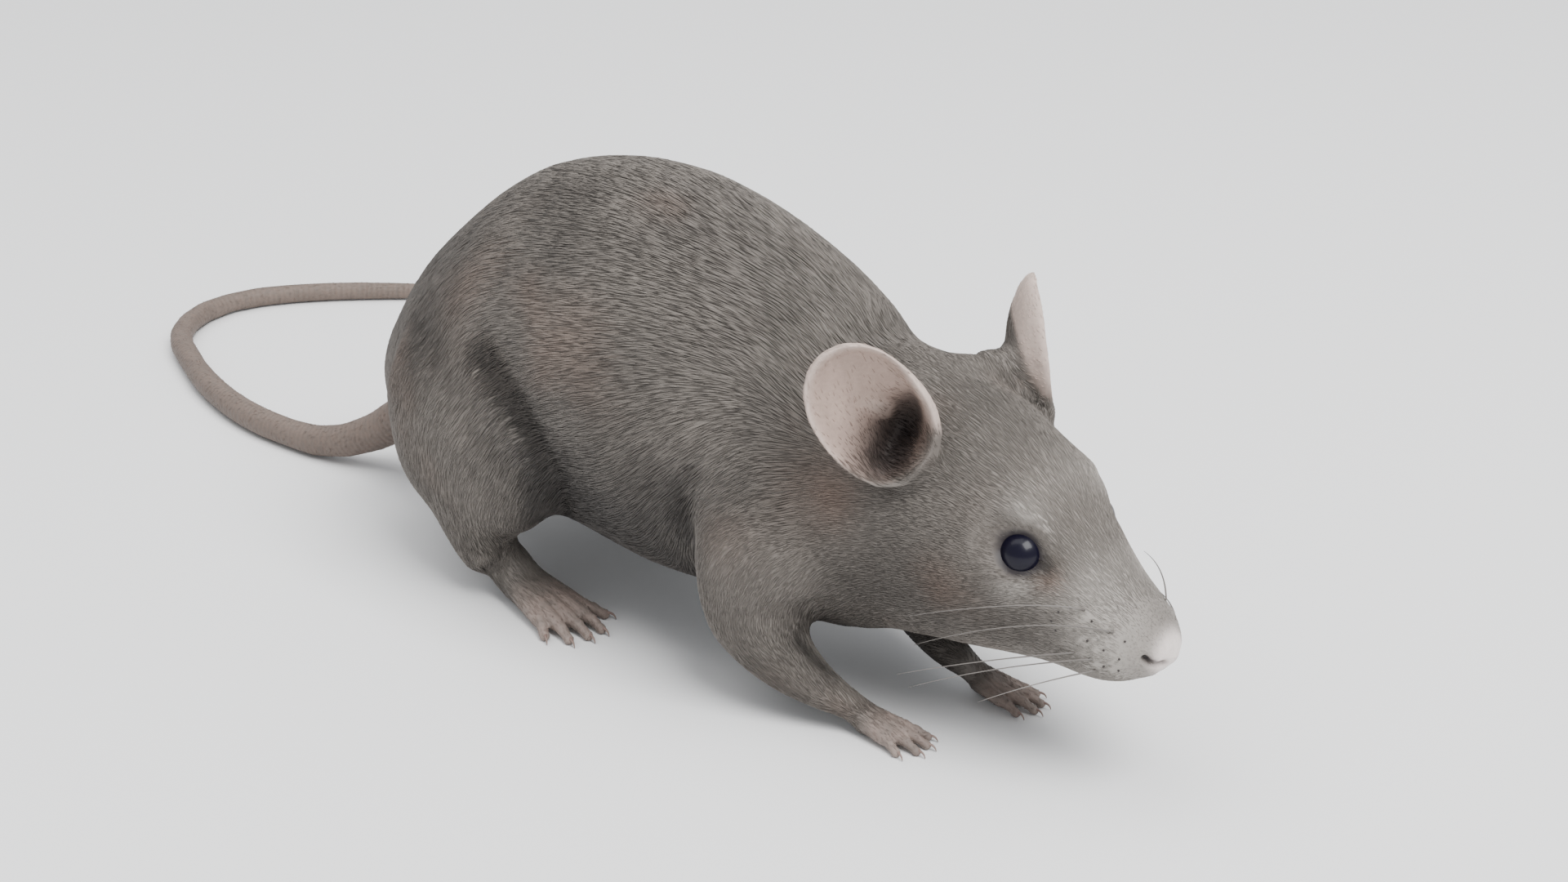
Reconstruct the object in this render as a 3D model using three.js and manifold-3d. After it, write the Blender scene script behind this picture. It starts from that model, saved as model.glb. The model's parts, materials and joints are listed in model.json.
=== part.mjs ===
// House mouse, life size, standing on four feet with its head low and its tail laid in a loop.
// Millimetres: +X is forward, +Y is the mouse's left, +Z is up. While it is modelled, the origin is on
// the floor under the ears; at the end the whole mouse is moved so that its box stands centred on z = 0.
import * as THREE from "three";
import { mergeVertices } from "three/addons/utils/BufferGeometryUtils.js";
import Module from "manifold-3d";

const wasm = await Module();
wasm.setup();

// Driving dimensions
const cutGap = 0.3; // between two parts of the flesh
const neckPlaneX = -9.5;
const napePlaneX = -4.5;
const nosePlaneX = 16.4;
const midline = -1.6; // the hips and chest stand a little right of the head
const eyeRadius = 1.5;
const eyeCentre = { x: 9.12, y: 3.81, z: 15.77 };
const tailRootRadius = 2.3;
const tailMainRadius = 1.5;
const tailTipRadius = 0.5;

const RIGHT = -1;
const LEFT = 1;
const sideName = (side) => (side === LEFT ? "left" : "right");
const vec = (x, y, z) => new THREE.Vector3(x, y, z);
const up = vec(0, 0, 1);

// Materials
const paint = (color, roughness) => new THREE.MeshStandardMaterial({ color, roughness, metalness: 0 });
const fur = paint(0x77706a, 0.85);
const bareSkin = paint(0xa3948c, 0.65);
const earSkin = paint(0xc4b2a8, 0.7);
const tailSkin = paint(0x8a7d75, 0.7);
const noseSkin = paint(0xc9bcb6, 0.5);
const eyeGloss = paint(0x14122a, 0.08);
const horn = paint(0x6d5f5a, 0.4);

// Solids
function solidOf(geometry) {
  const bare = geometry.index ? geometry : mergeVertices(geometry);
  bare.deleteAttribute("normal");
  bare.deleteAttribute("uv");
  const merged = mergeVertices(bare, 1e-4);
  return new wasm.Manifold(
    new wasm.Mesh({
      numProp: 3,
      vertProperties: new Float32Array(merged.attributes.position.array),
      triVerts: new Uint32Array(merged.index.array),
    }),
  );
}

function geometryOf(solid) {
  const mesh = solid.getMesh();
  const positions = new Float32Array(mesh.numVert * 3);
  for (let i = 0; i < mesh.numVert; i++) {
    positions.set(mesh.vertProperties.subarray(i * mesh.numProp, i * mesh.numProp + 3), i * 3);
  }
  const geometry = new THREE.BufferGeometry();
  geometry.setAttribute("position", new THREE.BufferAttribute(positions, 3));
  geometry.setIndex(new THREE.BufferAttribute(mesh.triVerts, 1));
  geometry.computeVertexNormals();
  return geometry;
}

const largestPiece = (solid) =>
  solid.decompose().reduce((best, piece) => (piece.volume() > best.volume() ? piece : best));
const ahead = (solid, x) => solid.trimByPlane([1, 0, 0], x);
const behind = (solid, x) => solid.trimByPlane([-1, 0, 0], -x);
const onFloor = (solid) => solid.trimByPlane([0, 0, 1], 0);

// A rounded body of flesh along a spine. Each station is { at: [x, y, z], wide, above, below }:
// half-widths across the spine, sideways, upwards and downwards. It starts and ends in a round cap.
function loft(stations, { sides, rings, caps = [0.1, 0.1], grow = 0, lateral = vec(0, 1, 0), shape }) {
  const spine = new THREE.CatmullRomCurve3(stations.map((s) => vec(...s.at)));
  const sizes = new THREE.CatmullRomCurve3(stations.map((s) => vec(s.wide, s.above, s.below)));
  const geometry = new THREE.SphereGeometry(1, sides, rings);
  const position = geometry.attributes.position;
  const p = vec();
  for (let i = 0; i < position.count; i++) {
    p.fromBufferAttribute(position, i);
    const polar = Math.acos(THREE.MathUtils.clamp(p.y, -1, 1)) / Math.PI;
    const t = capped(polar);
    const radial = Math.hypot(p.x, p.z) || 1;
    const across = p.x / radial;
    const high = p.z / radial;
    const size = sizes.getPoint(t);
    const swell = capFactor(t, caps);
    const tangent = spine.getTangent(t);
    const sideways = lateral.clone().addScaledVector(tangent, -lateral.dot(tangent)).normalize();
    const upwards = tangent.clone().cross(sideways).normalize();
    const reach = high > 0 ? size.y : size.z;
    const point = spine
      .getPoint(t)
      .addScaledVector(sideways, across * (size.x + grow) * swell)
      .addScaledVector(upwards, high * (reach + grow) * swell);
    if (grow) point.addScaledVector(tangent, grow * Math.sign(t - 0.5) * (1 - swell));
    if (shape) shape(point, sideways.multiplyScalar(across).addScaledVector(upwards, high));
    position.setXYZ(i, point.x, point.y, point.z);
  }
  return solidOf(geometry);
}

// Rings crowd towards both ends, so that the caps stay round.
const capped = (share) => 0.65 * share + 0.35 * (0.5 - 0.5 * Math.cos(Math.PI * share));

function capFactor(t, [start, end]) {
  const a = start ? Math.min(1, t / start) : 1;
  const b = end ? Math.min(1, (1 - t) / end) : 1;
  return Math.sqrt(Math.max(0, 1 - (1 - a) ** 2)) * Math.sqrt(Math.max(0, 1 - (1 - b) ** 2));
}

// Trunk, neck and head are one loft from rump to nose, parted afterwards.
const fleshStations = [
  { at: [-54.6, -1.6, 11.4], wide: 4.4, above: 3.6, below: 4.8 },
  { at: [-51.6, -1.7, 11.8], wide: 7.2, above: 6.3, below: 7.2 },
  { at: [-46.8, -1.8, 13.2], wide: 9.6, above: 9.0, below: 8.8 },
  { at: [-41, -1.9, 15.3], wide: 11.5, above: 12.1, below: 10.6 },
  { at: [-34, -1.9, 17.0], wide: 12.6, above: 15.4, below: 11.8 },
  { at: [-27, -1.9, 17.9], wide: 12.9, above: 16.0, below: 12.8 },
  { at: [-20, -1.8, 17.4], wide: 12.4, above: 15.2, below: 13.2 },
  { at: [-13.5, -1.5, 16.5], wide: 10.9, above: 13.5, below: 12.4 },
  { at: [-8, -1.0, 15.3], wide: 9.4, above: 11.2, below: 11.6 },
  { at: [-3, -0.3, 15.3], wide: 8.5, above: 9.9, below: 10.4 },
  { at: [2, 0, 14.7], wide: 7.8, above: 8.9, below: 9.3 },
  { at: [6.5, 0, 13.6], wide: 6.6, above: 7.2, below: 7.6 },
  { at: [10.5, 0, 12.3], wide: 4.9, above: 5.0, below: 5.7 },
  { at: [14.2, 0, 11.1], wide: 3.5, above: 3.3, below: 3.8 },
  { at: [18.7, 0, 10.3], wide: 2.1, above: 2.1, below: 1.8 },
];
const fleshSides = 26;
const fleshRings = 38;
const flesh = (grow) =>
  loft(fleshStations, { sides: fleshSides, rings: fleshRings, caps: [0.06, 0.05], grow, shape: swellFace });

// Swellings of the face, alike on both sides: where, how far each reaches and how high it stands.
const swellings = {
  cheek: { at: [5.0, 6.2, 11.0], reach: 4.5, lift: 0.5 },
  brow: { at: [8.8, 4.0, 17.8], reach: 2.6, lift: 0.5 },
  whiskerPad: { at: [14.6, 2.6, 9.2], reach: 2.8, lift: 0.6 },
};

function swellFace(point, outward) {
  const direction = outward.normalize();
  for (const { at, reach, lift } of Object.values(swellings)) {
    const centre = vec(at[0], at[1] * Math.sign(point.y || 1), at[2]);
    const near = point.distanceTo(centre) / reach;
    point.addScaledVector(direction, lift * Math.exp(-near * near));
  }
}

// Eyes
function eyeball(side, grow = 0) {
  const ball = new THREE.SphereGeometry(eyeRadius + grow, 14, 8);
  ball.translate(eyeCentre.x, side * eyeCentre.y, eyeCentre.z);
  return solidOf(ball);
}

// Feet: a sole from heel to ball, and toes spread from it. Each toe is [along, inwards, splay inwards, length],
// measured from the ball; headings are in degrees from +X to +Y.
const ankleTop = 4;
const hindToes = [
  [0.2, -1.7, -24, 1.7],
  [1.2, -1.1, -8, 2.2],
  [1.5, 0.0, 0, 2.3],
  [1.4, 1.2, 4, 2.2],
  [0.4, 1.9, 34, 1.8],
];
const foreToes = [
  [0.2, -1.0, -22, 1.5],
  [0.8, -0.4, -7, 1.8],
  [0.9, 0.35, 3, 1.8],
  [0.6, 1.0, 14, 1.6],
];
const openToes = [...foreToes.slice(0, 3), [0.35, 1.25, 10, 1.6]];
const hindFoot = {
  toes: hindToes,
  length: 9.2,
  width: 2.0,
  depth: 1.9,
  heelRise: 2.0,
  ballReach: 1.4,
  toeRadius: 0.62,
  clawReach: 1.0,
  ankle: 6.2,
};
const foreFoot = {
  toes: foreToes,
  length: 2.8,
  width: 1.45,
  depth: 1.35,
  heelRise: 0.4,
  ballReach: 0.9,
  toeRadius: 0.47,
  clawReach: 0.8,
  ankle: 2.4,
};
const feet = {
  hindfoot_right: { ...hindFoot, side: RIGHT, ball: [-28.3, -11.2], heading: -5 },
  hindfoot_left: { ...hindFoot, side: LEFT, ball: [-29.2, 8.2], heading: 6 },
  forefoot_right: { ...foreFoot, side: RIGHT, ball: [0.8, -6.8], heading: 8 },
  forefoot_left: { ...foreFoot, toes: openToes, width: 1.25, side: LEFT, ball: [3.0, 2.85], heading: 6 },
};

// A point beside a foot's ball: along its heading, inwards across it, and up.
function beside(foot, along, inwards, z) {
  const turn = THREE.MathUtils.degToRad(foot.heading);
  const left = -foot.side * inwards;
  return [
    foot.ball[0] + along * Math.cos(turn) - left * Math.sin(turn),
    foot.ball[1] + along * Math.sin(turn) + left * Math.cos(turn),
    z,
  ];
}

// The course of one toe: its root inside the foot, knuckle, tip, and the middle and end of its claw.
function toeCourse(foot, [along, inwards, splay, length]) {
  const turn = THREE.MathUtils.degToRad(splay);
  const r = foot.toeRadius;
  const step = (share, z) => beside(foot, along + share * Math.cos(turn), inwards + share * Math.sin(turn), z);
  return {
    root: step(-1.6 * r, 1.9 * r),
    knuckle: step(length * 0.45, 2.0 * r),
    tip: step(length * 0.95, 1.0 * r),
    clawMiddle: step(length + foot.clawReach * 0.6, 0.95 * r),
    clawEnd: step(length + foot.clawReach * 1.15, 0.2),
  };
}

function toe(foot, row) {
  const { root, knuckle, tip } = toeCourse(foot, row);
  const r = foot.toeRadius;
  return loft(
    [
      { at: root, wide: r * 0.9, above: r * 0.7, below: r * 1.6 },
      { at: knuckle, wide: r, above: r * 0.75, below: r * 1.9 },
      { at: tip, wide: r * 0.85, above: r * 0.8, below: r * 1.3 },
    ],
    { sides: 6, rings: 5, caps: [0.2, 0.3] },
  );
}

function claw(foot, row) {
  const { tip, clawMiddle, clawEnd } = toeCourse(foot, row);
  const r = foot.toeRadius;
  return loft(
    [
      { at: [tip[0], tip[1], tip[2] + 0.25 * r], wide: r * 0.55, above: r * 0.5, below: r * 0.5 },
      { at: clawMiddle, wide: r * 0.4, above: r * 0.36, below: r * 0.36 },
      { at: clawEnd, wide: 0.1, above: 0.09, below: 0.09 },
    ],
    { sides: 5, rings: 4, caps: [0.15, 0.1] },
  );
}

function sole(foot) {
  const { width, length, depth, heelRise, ballReach } = foot;
  const rows = [
    // along, height, then width, above and below as shares of the foot's width and depth
    [-length, depth + heelRise * 0.8, 1, 1, 1.1],
    [-length * 0.55, depth + heelRise * 0.1, 0.88, 0.85, 1],
    [-length * 0.2, depth * 0.72, 1, 0.75, 0.85],
    [ballReach, depth * 0.6, 1, 0.5, 0.75],
  ];
  const stations = rows.map(([along, z, wide, above, below]) => ({
    at: beside(foot, along, 0, z),
    wide: wide * width,
    above: above * depth,
    below: below * depth,
  }));
  return loft(stations, { sides: 10, rings: 8, caps: [0.12, 0.12] });
}

// The block of space that parts a foot from its leg, ahead of the ankle and below its top.
function footBlock(ankleX, grow) {
  const long = 60;
  const deep = 20;
  const block = new THREE.BoxGeometry(long, long, deep);
  return solidOf(block.translate(ankleX + long / 2 - grow, 0, ankleTop - deep / 2 + grow));
}

const footSolid = (foot) => onFloor(foot.toes.reduce((whole, row) => whole.add(toe(foot, row)), sole(foot)));

// Legs. Down a leg, above is its front and below its back. The haunch narrows to the heel; the upper arm
// runs down to the elbow and forward along the forearm to the wrist.
const haunchProfile = [
  // x, out from the midline, z, half-width, forward, backward
  [-41.5, 7.2, 21.0, 4.6, 5.6, 7.0],
  [-39.0, 8.9, 15.5, 5.0, 8.0, 8.2],
  [-37.0, 9.4, 11.0, 4.6, 10.0, 8.8],
  [-36.2, 9.8, 7.8, 3.8, 7.6, 7.4],
  [-36.0, 10.2, 5.4, 2.8, 4.3, 4.1],
  [-35.4, 10.4, 3.7, 2.2, 2.6, 2.4],
  [-34.4, 10.3, 2.5, 1.9, 1.8, 2.0],
];
const armProfiles = {
  [RIGHT]: [
    [-9.0, 5.0, 16.0, 4.0, 5.4, 5.4],
    [-9.3, 6.6, 12.0, 4.5, 5.8, 5.4],
    [-9.6, 7.6, 8.2, 3.9, 4.9, 4.8],
    [-7.4, 7.7, 4.9, 2.7, 2.7, 2.9],
    [-3.8, 6.7, 2.7, 1.75, 1.6, 1.7],
    [-1.0, 5.7, 1.7, 1.3, 1.15, 1.3],
  ],
  [LEFT]: [
    [-9.0, 5.0, 16.0, 4.0, 5.4, 5.4],
    [-9.0, 6.4, 11.5, 4.4, 5.6, 5.2],
    [-8.4, 6.2, 7.0, 3.4, 4.2, 4.0],
    [-4.6, 4.6, 3.6, 2.1, 2.1, 1.9],
    [-1.2, 3.5, 2.7, 1.6, 1.6, 1.5],
    [1.8, 3.1, 1.8, 1.25, 1.1, 1.2],
  ],
};

function leg(side, profile, shift) {
  const stations = profile.map(([x, out, z, wide, above, below]) => ({
    at: [x + shift, midline + side * out, z],
    wide,
    above,
    below,
  }));
  return loft(stations, { sides: 14, rings: 12, caps: [0.12, 0.08] });
}

// Ears: a cupped plate on a short stem, hollowed out in front.
const ear = {
  centre: [0.4, 8.8, 24.3],
  wide: 4.3,
  high: 4.75,
  thick: 1.0,
  cup: 1.9,
  canal: { deep: 1.6, at: [1.3, -2.9], reach: 2.0 },
  egg: { mean: 1.01, lean: 0.06, long: 0.14, towards: -68 },
  heading: 44,
  tilt: -22,
  lean: 9,
};

// Both faces of the plate follow one bowl; the hollow fills it from the front face outwards.
function earShape(side, face) {
  const geometry = new THREE.SphereGeometry(1, 20, 10);
  const position = geometry.attributes.position;
  const p = vec();
  for (let i = 0; i < position.count; i++) {
    p.fromBufferAttribute(position, i);
    // the outline is egg-shaped, longest down and forward
    const from = Math.atan2(p.z, p.x) - THREE.MathUtils.degToRad(ear.egg.towards);
    const egg = ear.egg.mean + ear.egg.lean * Math.cos(from) + ear.egg.long * Math.cos(2 * from);
    const x = p.x * ear.wide * egg;
    const z = p.z * ear.high * egg;
    const depth = 1 - p.x * p.x - p.z * p.z;
    const fromCanal = Math.hypot(x - ear.canal.at[0], z - ear.canal.at[1]) / ear.canal.reach;
    const bowl = ear.cup + ear.canal.deep * Math.exp(-fromCanal * fromCanal);
    position.setXYZ(i, x, face(p.y) - bowl * depth, z);
  }
  geometry.rotateY(THREE.MathUtils.degToRad(ear.tilt));
  geometry.rotateX(THREE.MathUtils.degToRad(ear.lean));
  geometry.rotateZ(THREE.MathUtils.degToRad(ear.heading - 90));
  geometry.translate(...ear.centre);
  if (side === RIGHT) mirrorAcross(geometry);
  return solidOf(geometry);
}

const edgeRound = 0.4; // power that rounds the rim of the plate
const earPlate = (side) => earShape(side, (y) => (Math.sign(y) * Math.abs(y) ** edgeRound * ear.thick) / 2);
const earHollow = (side) => earShape(side, (y) => (y > 0 ? 3 * y ** edgeRound : ear.thick / 2));
const earStem = (side) =>
  loft(
    [
      { at: [0.6, side * 3.2, 18.4], wide: 3.2, above: 3.0, below: 3.0 },
      { at: [-0.2, side * 5.6, 21.6], wide: 2.5, above: 2.4, below: 2.4 },
      { at: [-0.6, side * 7.4, 24.2], wide: 1.8, above: 1.8, below: 1.8 },
    ],
    { sides: 10, rings: 5, caps: [0.15, 0.2], lateral: vec(1, 0, 0) },
  );

function mirrorAcross(geometry) {
  geometry.scale(1, -1, 1);
  const index = geometry.index.array;
  for (let i = 0; i < index.length; i += 3) [index[i + 1], index[i + 2]] = [index[i + 2], index[i + 1]];
}

// Tail: from the rump down to the floor, back, round to the left and forward again. Past the root it lies
// on the floor, pressed a little flat.
const tailRoute = [
  [-53, -1.6, 9.0],
  [-57.5, -2.0, 6.0],
  [-61.2, -3.2, 3.4],
  [-65, -4.8, 1.8],
  [-70, -5.8, 1.0],
  [-77, -6.0, 0],
  [-85.5, -4.5, 0],
  [-93.5, -1.8, 0],
  [-100, 1.2, 0],
  [-104.2, 6.2, 0],
  [-105, 11.5, 0],
  [-102.9, 16.5, 0],
  [-98.2, 22.5, 0],
  [-91.5, 28.5, 0],
  [-83, 32.5, 0],
  [-75, 34, 0],
];
const tailPress = 0.12; // how deep the lying tail is flattened
const tailCurve = new THREE.CatmullRomCurve3(tailRoute.map((p) => vec(...p)));
const rootShare = 0.11; // of the tail's length that its root's swelling reaches
const tailRadius = (t) =>
  tailTipRadius +
  (tailMainRadius - tailTipRadius) * (1 - t) ** 0.42 +
  (tailRootRadius - tailMainRadius) * Math.exp(-((t / rootShare) ** 2));
const tailLengths = ["tail_root", "tail_fore", "tail_middle", "tail_hind", "tail_tip"];
const tailSides = 8;
const tailSteps = 6;
const tipShare = 0.03; // of the tail's length that its tip takes to close

function tailPiece(from, to) {
  const geometry = new THREE.CylinderGeometry(1, 1, 1, tailSides, tailSteps);
  const position = geometry.attributes.position;
  const p = vec();
  for (let i = 0; i < position.count; i++) {
    p.fromBufferAttribute(position, i);
    const t = from + (to - from) * (0.5 - p.y);
    const tangent = tailCurve.getTangentAt(t);
    const sideways = up.clone().cross(tangent).normalize();
    const upwards = tangent.clone().cross(sideways);
    const closing = Math.max(0, (t - 1 + tipShare) / tipShare);
    const r = tailRadius(t) * Math.sqrt(1 - 0.94 * closing ** 2);
    const centre = tailCurve.getPointAt(t);
    centre.z = Math.max(centre.z, tailRadius(t) - tailPress);
    const point = centre.addScaledVector(sideways, p.x * r).addScaledVector(upwards, p.z * r);
    position.setXYZ(i, point.x, point.y, point.z);
  }
  return solidOf(geometry);
}

// Assembly
const mouse = new THREE.Group();
mouse.name = "house_mouse";
function place(name, solid, material) {
  const node = new THREE.Mesh(geometryOf(largestPiece(solid)), material);
  node.name = name;
  mouse.add(node);
}

const wholeFlesh = flesh(0);
const fleshAround = flesh(cutGap);
const half = cutGap / 2;
const sockets = eyeball(LEFT, cutGap * 0.6).add(eyeball(RIGHT, cutGap * 0.6));

place("trunk", behind(wholeFlesh, neckPlaneX - half), fur);
place("neck", behind(ahead(wholeFlesh, neckPlaneX + half), napePlaneX - half), fur);
place("head", behind(ahead(wholeFlesh, napePlaneX + half), nosePlaneX - half).subtract(sockets), fur);
place("nose", ahead(wholeFlesh, nosePlaneX + half), noseSkin);

for (const side of [LEFT, RIGHT]) {
  place(`eye_${sideName(side)}`, eyeball(side), eyeGloss);
  const earSolid = earPlate(side).add(earStem(side).subtract(earHollow(side))).subtract(fleshAround);
  place(`ear_${sideName(side)}`, earSolid, earSkin);
}

for (const [name, foot] of Object.entries(feet)) {
  const isHind = foot.toes.length === 5;
  const limb = isHind
    ? leg(foot.side, haunchProfile, foot.ball[0] - feet.hindfoot_right.ball[0])
    : leg(foot.side, armProfiles[foot.side], 0);
  const cut = foot.ball[0] - foot.ankle;
  const footAndLimb = onFloor(footSolid(foot).add(limb)).subtract(fleshAround);
  const bareFoot = footAndLimb.intersect(footBlock(cut, -half));
  const legPart = footAndLimb.subtract(footBlock(cut, half));
  place(name.replace("foot", "leg"), legPart, fur);
  place(name, bareFoot, bareSkin);
  foot.toes.forEach((row, i) => place(`claw_${name}_${i + 1}`, claw(foot, row).subtract(bareFoot), horn));
}

tailLengths.forEach((name, i) => {
  const share = 1 / tailLengths.length;
  const gap = half / tailCurve.getLength();
  const from = i === 0 ? 0 : i * share + gap;
  const to = i === tailLengths.length - 1 ? 1 : (i + 1) * share - gap;
  let piece = onFloor(tailPiece(from, to));
  if (i === 0) piece = piece.subtract(fleshAround);
  place(name, piece, tailSkin);
});

// The mouse's box stands centred over the origin, with its soles on z = 0.
const box = new THREE.Box3().setFromObject(mouse);
const middle = box.getCenter(vec());
mouse.position.set(-middle.x, -middle.y, -box.min.z);

export default mouse;
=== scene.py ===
import json
import math

import bmesh
import bpy
import numpy as np
from mathutils import Matrix, Vector
from mathutils.bvhtree import BVHTree

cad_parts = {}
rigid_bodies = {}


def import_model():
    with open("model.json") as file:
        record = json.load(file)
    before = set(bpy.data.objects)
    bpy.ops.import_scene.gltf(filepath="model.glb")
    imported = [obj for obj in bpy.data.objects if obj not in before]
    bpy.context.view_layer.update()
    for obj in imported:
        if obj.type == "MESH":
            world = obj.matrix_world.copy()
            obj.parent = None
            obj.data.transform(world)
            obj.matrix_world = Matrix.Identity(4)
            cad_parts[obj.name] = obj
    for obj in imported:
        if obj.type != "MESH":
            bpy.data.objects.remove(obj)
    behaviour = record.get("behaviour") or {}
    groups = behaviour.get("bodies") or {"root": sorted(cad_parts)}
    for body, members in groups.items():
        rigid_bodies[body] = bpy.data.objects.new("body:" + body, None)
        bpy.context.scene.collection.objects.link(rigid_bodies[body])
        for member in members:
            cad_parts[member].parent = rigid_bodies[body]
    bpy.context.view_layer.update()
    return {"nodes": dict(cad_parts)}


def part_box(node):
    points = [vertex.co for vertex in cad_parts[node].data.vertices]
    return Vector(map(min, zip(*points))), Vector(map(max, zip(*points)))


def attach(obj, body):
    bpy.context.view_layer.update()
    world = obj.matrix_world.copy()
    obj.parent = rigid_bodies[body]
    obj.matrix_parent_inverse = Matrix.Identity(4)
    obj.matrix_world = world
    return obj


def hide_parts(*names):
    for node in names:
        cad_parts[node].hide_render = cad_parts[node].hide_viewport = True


for spare in list(bpy.data.objects):
    bpy.data.objects.remove(spare)
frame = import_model()
nodes = frame["nodes"]

# The mouse is worked on in millimetres, from a point on the floor under its ears: x forward, y left.
eyeSpec = {
    "centre": (9.12, 3.81, 15.77), "radius": 1.5, "axis": (0.42, 0.80, 0.42),
    "seat": {1: (-0.15, -0.12, -0.11), -1: (-0.28, -0.24, -0.2)},
}
eyeLow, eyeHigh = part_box("eye_right")
eyeMiddle = np.array((eyeLow + eyeHigh) / 2) * 1000
shift = eyeMiddle - np.array(eyeSpec["centre"]) * (1, -1, 1)


def toRow(points):
    return (np.asarray(points, float) + shift) / 1000


def toMouse(points):
    return np.asarray(points, float) * 1000 - shift


def unit(v):
    v = np.asarray(v, float)
    return v / np.maximum(np.linalg.norm(v, axis=-1, keepdims=True), 1e-9)


def mirrored(v, side):
    return np.asarray(v, float) * (1, side, 1)


def meshFrom(bm, name):
    mesh = bpy.data.meshes.new(name)
    bm.to_mesh(mesh)
    bm.free()
    return mesh


def placed(name, data):
    made = bpy.data.objects.new(name, data)
    bpy.context.scene.collection.objects.link(made)
    return made


def remade(mesh, kind, **settings):
    # the mesh as one modifier leaves it
    lump = placed("skin_lump", mesh)
    modifier = lump.modifiers.new("remade", kind)
    for key, value in settings.items():
        setattr(modifier, key, value)
    graph = bpy.context.evaluated_depsgraph_get()
    made = bpy.data.meshes.new_from_object(lump.evaluated_get(graph))
    bpy.data.objects.remove(lump)
    return made


# Camera
viewSpec = {"turn": 46.0, "drop": 23.0, "at": (84.3, -103.4, 76.0), "lens": 50}


def aimCamera(spec):
    turn, drop = math.radians(spec["turn"]), math.radians(spec["drop"])
    right = Vector((math.sin(turn), math.cos(turn), 0))
    level = Vector((-math.cos(turn), math.sin(turn), 0))
    ahead = level * math.cos(drop) - Vector((0, 0, 1)) * math.sin(drop)
    data = bpy.data.cameras.new("camera")
    data.lens = spec["lens"]
    data.clip_start = 0.005
    camera = placed("camera", data)
    pose = Matrix((right, right.cross(ahead), -ahead)).transposed().to_4x4()
    pose.translation = Vector(toRow(spec["at"]))
    camera.matrix_world = pose
    bpy.context.scene.camera = camera


aimCamera(viewSpec)
print("camera set")


# Shader maths: a wire is a socket whose sums and products add Math nodes.
class Wire:
    def __init__(self, shader, socket):
        self.shader = shader
        self.socket = socket

    def maths(self, operation, *values):
        return self.shader.node("ShaderNodeMath", {"operation": operation}, dict(enumerate(values)))

    def __add__(self, other):
        return self.maths("ADD", self, other)

    def __radd__(self, other):
        return self.maths("ADD", other, self)

    def __sub__(self, other):
        return self.maths("SUBTRACT", self, other)

    def __rsub__(self, other):
        return self.maths("SUBTRACT", other, self)

    def __mul__(self, other):
        return self.maths("MULTIPLY", self, other)

    def __rmul__(self, other):
        return self.maths("MULTIPLY", other, self)

    def wave(self):
        return self.maths("SINE", self)

    def ramp(self, low, high, bottom=0.0, top=1.0):
        settings = {"interpolation_type": "SMOOTHSTEP"}
        return self.shader.node("ShaderNodeMapRange", settings, {0: self, 1: low, 2: high, 3: bottom, 4: top})


class Shader:
    def __init__(self, name):
        self.material = bpy.data.materials.new(name)
        self.material.use_nodes = True
        self.tree = self.material.node_tree
        self.tree.nodes.clear()
        self.finish = self.tree.nodes.new("ShaderNodeBsdfPrincipled")
        output = self.tree.nodes.new("ShaderNodeOutputMaterial")
        self.tree.links.new(self.finish.outputs["BSDF"], output.inputs["Surface"])
        self.place = self.node("ShaderNodeTexCoord", {}, {}, "Object")

    def node(self, kind, settings, values, output=0):
        made = self.tree.nodes.new(kind)
        for key, value in settings.items():
            setattr(made, key, value)
        for key, value in values.items():
            self.feed(made.inputs[key], value)
        return Wire(self, made.outputs[output])

    def feed(self, socket, value):
        if isinstance(value, Wire):
            self.tree.links.new(value.socket, socket)
        elif isinstance(value, tuple) and len(value) == 3 and socket.type == "RGBA":
            socket.default_value = (*value, 1)
        else:
            socket.default_value = value

    def blend(self, share, first, second):
        settings = {"data_type": "RGBA", "clamp_factor": True}
        return self.node("ShaderNodeMix", settings, {0: share, 6: first, 7: second}, 2)

    def tint(self, colour, amount):  # a colour made lighter or darker by a wire round 1
        grey = self.node("ShaderNodeCombineXYZ", {}, {0: amount, 1: amount, 2: amount})
        return self.node("ShaderNodeVectorMath", {"operation": "MULTIPLY"}, {0: colour, 1: grey})

    def field(self, name):
        return self.node("ShaderNodeAttribute", {"attribute_name": name}, {}, 2)

    def noise(self, size, detail=2.0, stretch=(1, 1, 1)):
        # size is the width of its features in millimetres
        place = self.node("ShaderNodeMapping", {}, {0: self.place, 3: tuple(1 / s for s in stretch)})
        values = {"Vector": place, "Scale": 1000 / size, "Detail": detail}
        return self.node("ShaderNodeTexNoise", {}, values)

    def bump(self, height, depth):
        # depth is the height of the bumps in millimetres
        values = {"Height": height, "Distance": depth / 1000, "Strength": 1.0}
        self.feed(self.finish.inputs["Normal"], self.node("ShaderNodeBump", {}, values))

    def set(self, **values):
        for key, value in values.items():
            self.feed(self.finish.inputs[key.replace("_", " ")], value)
        return self


def srgb(*levels):
    return tuple(((v / 255 + 0.055) / 1.055) ** 2.4 for v in levels)


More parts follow.
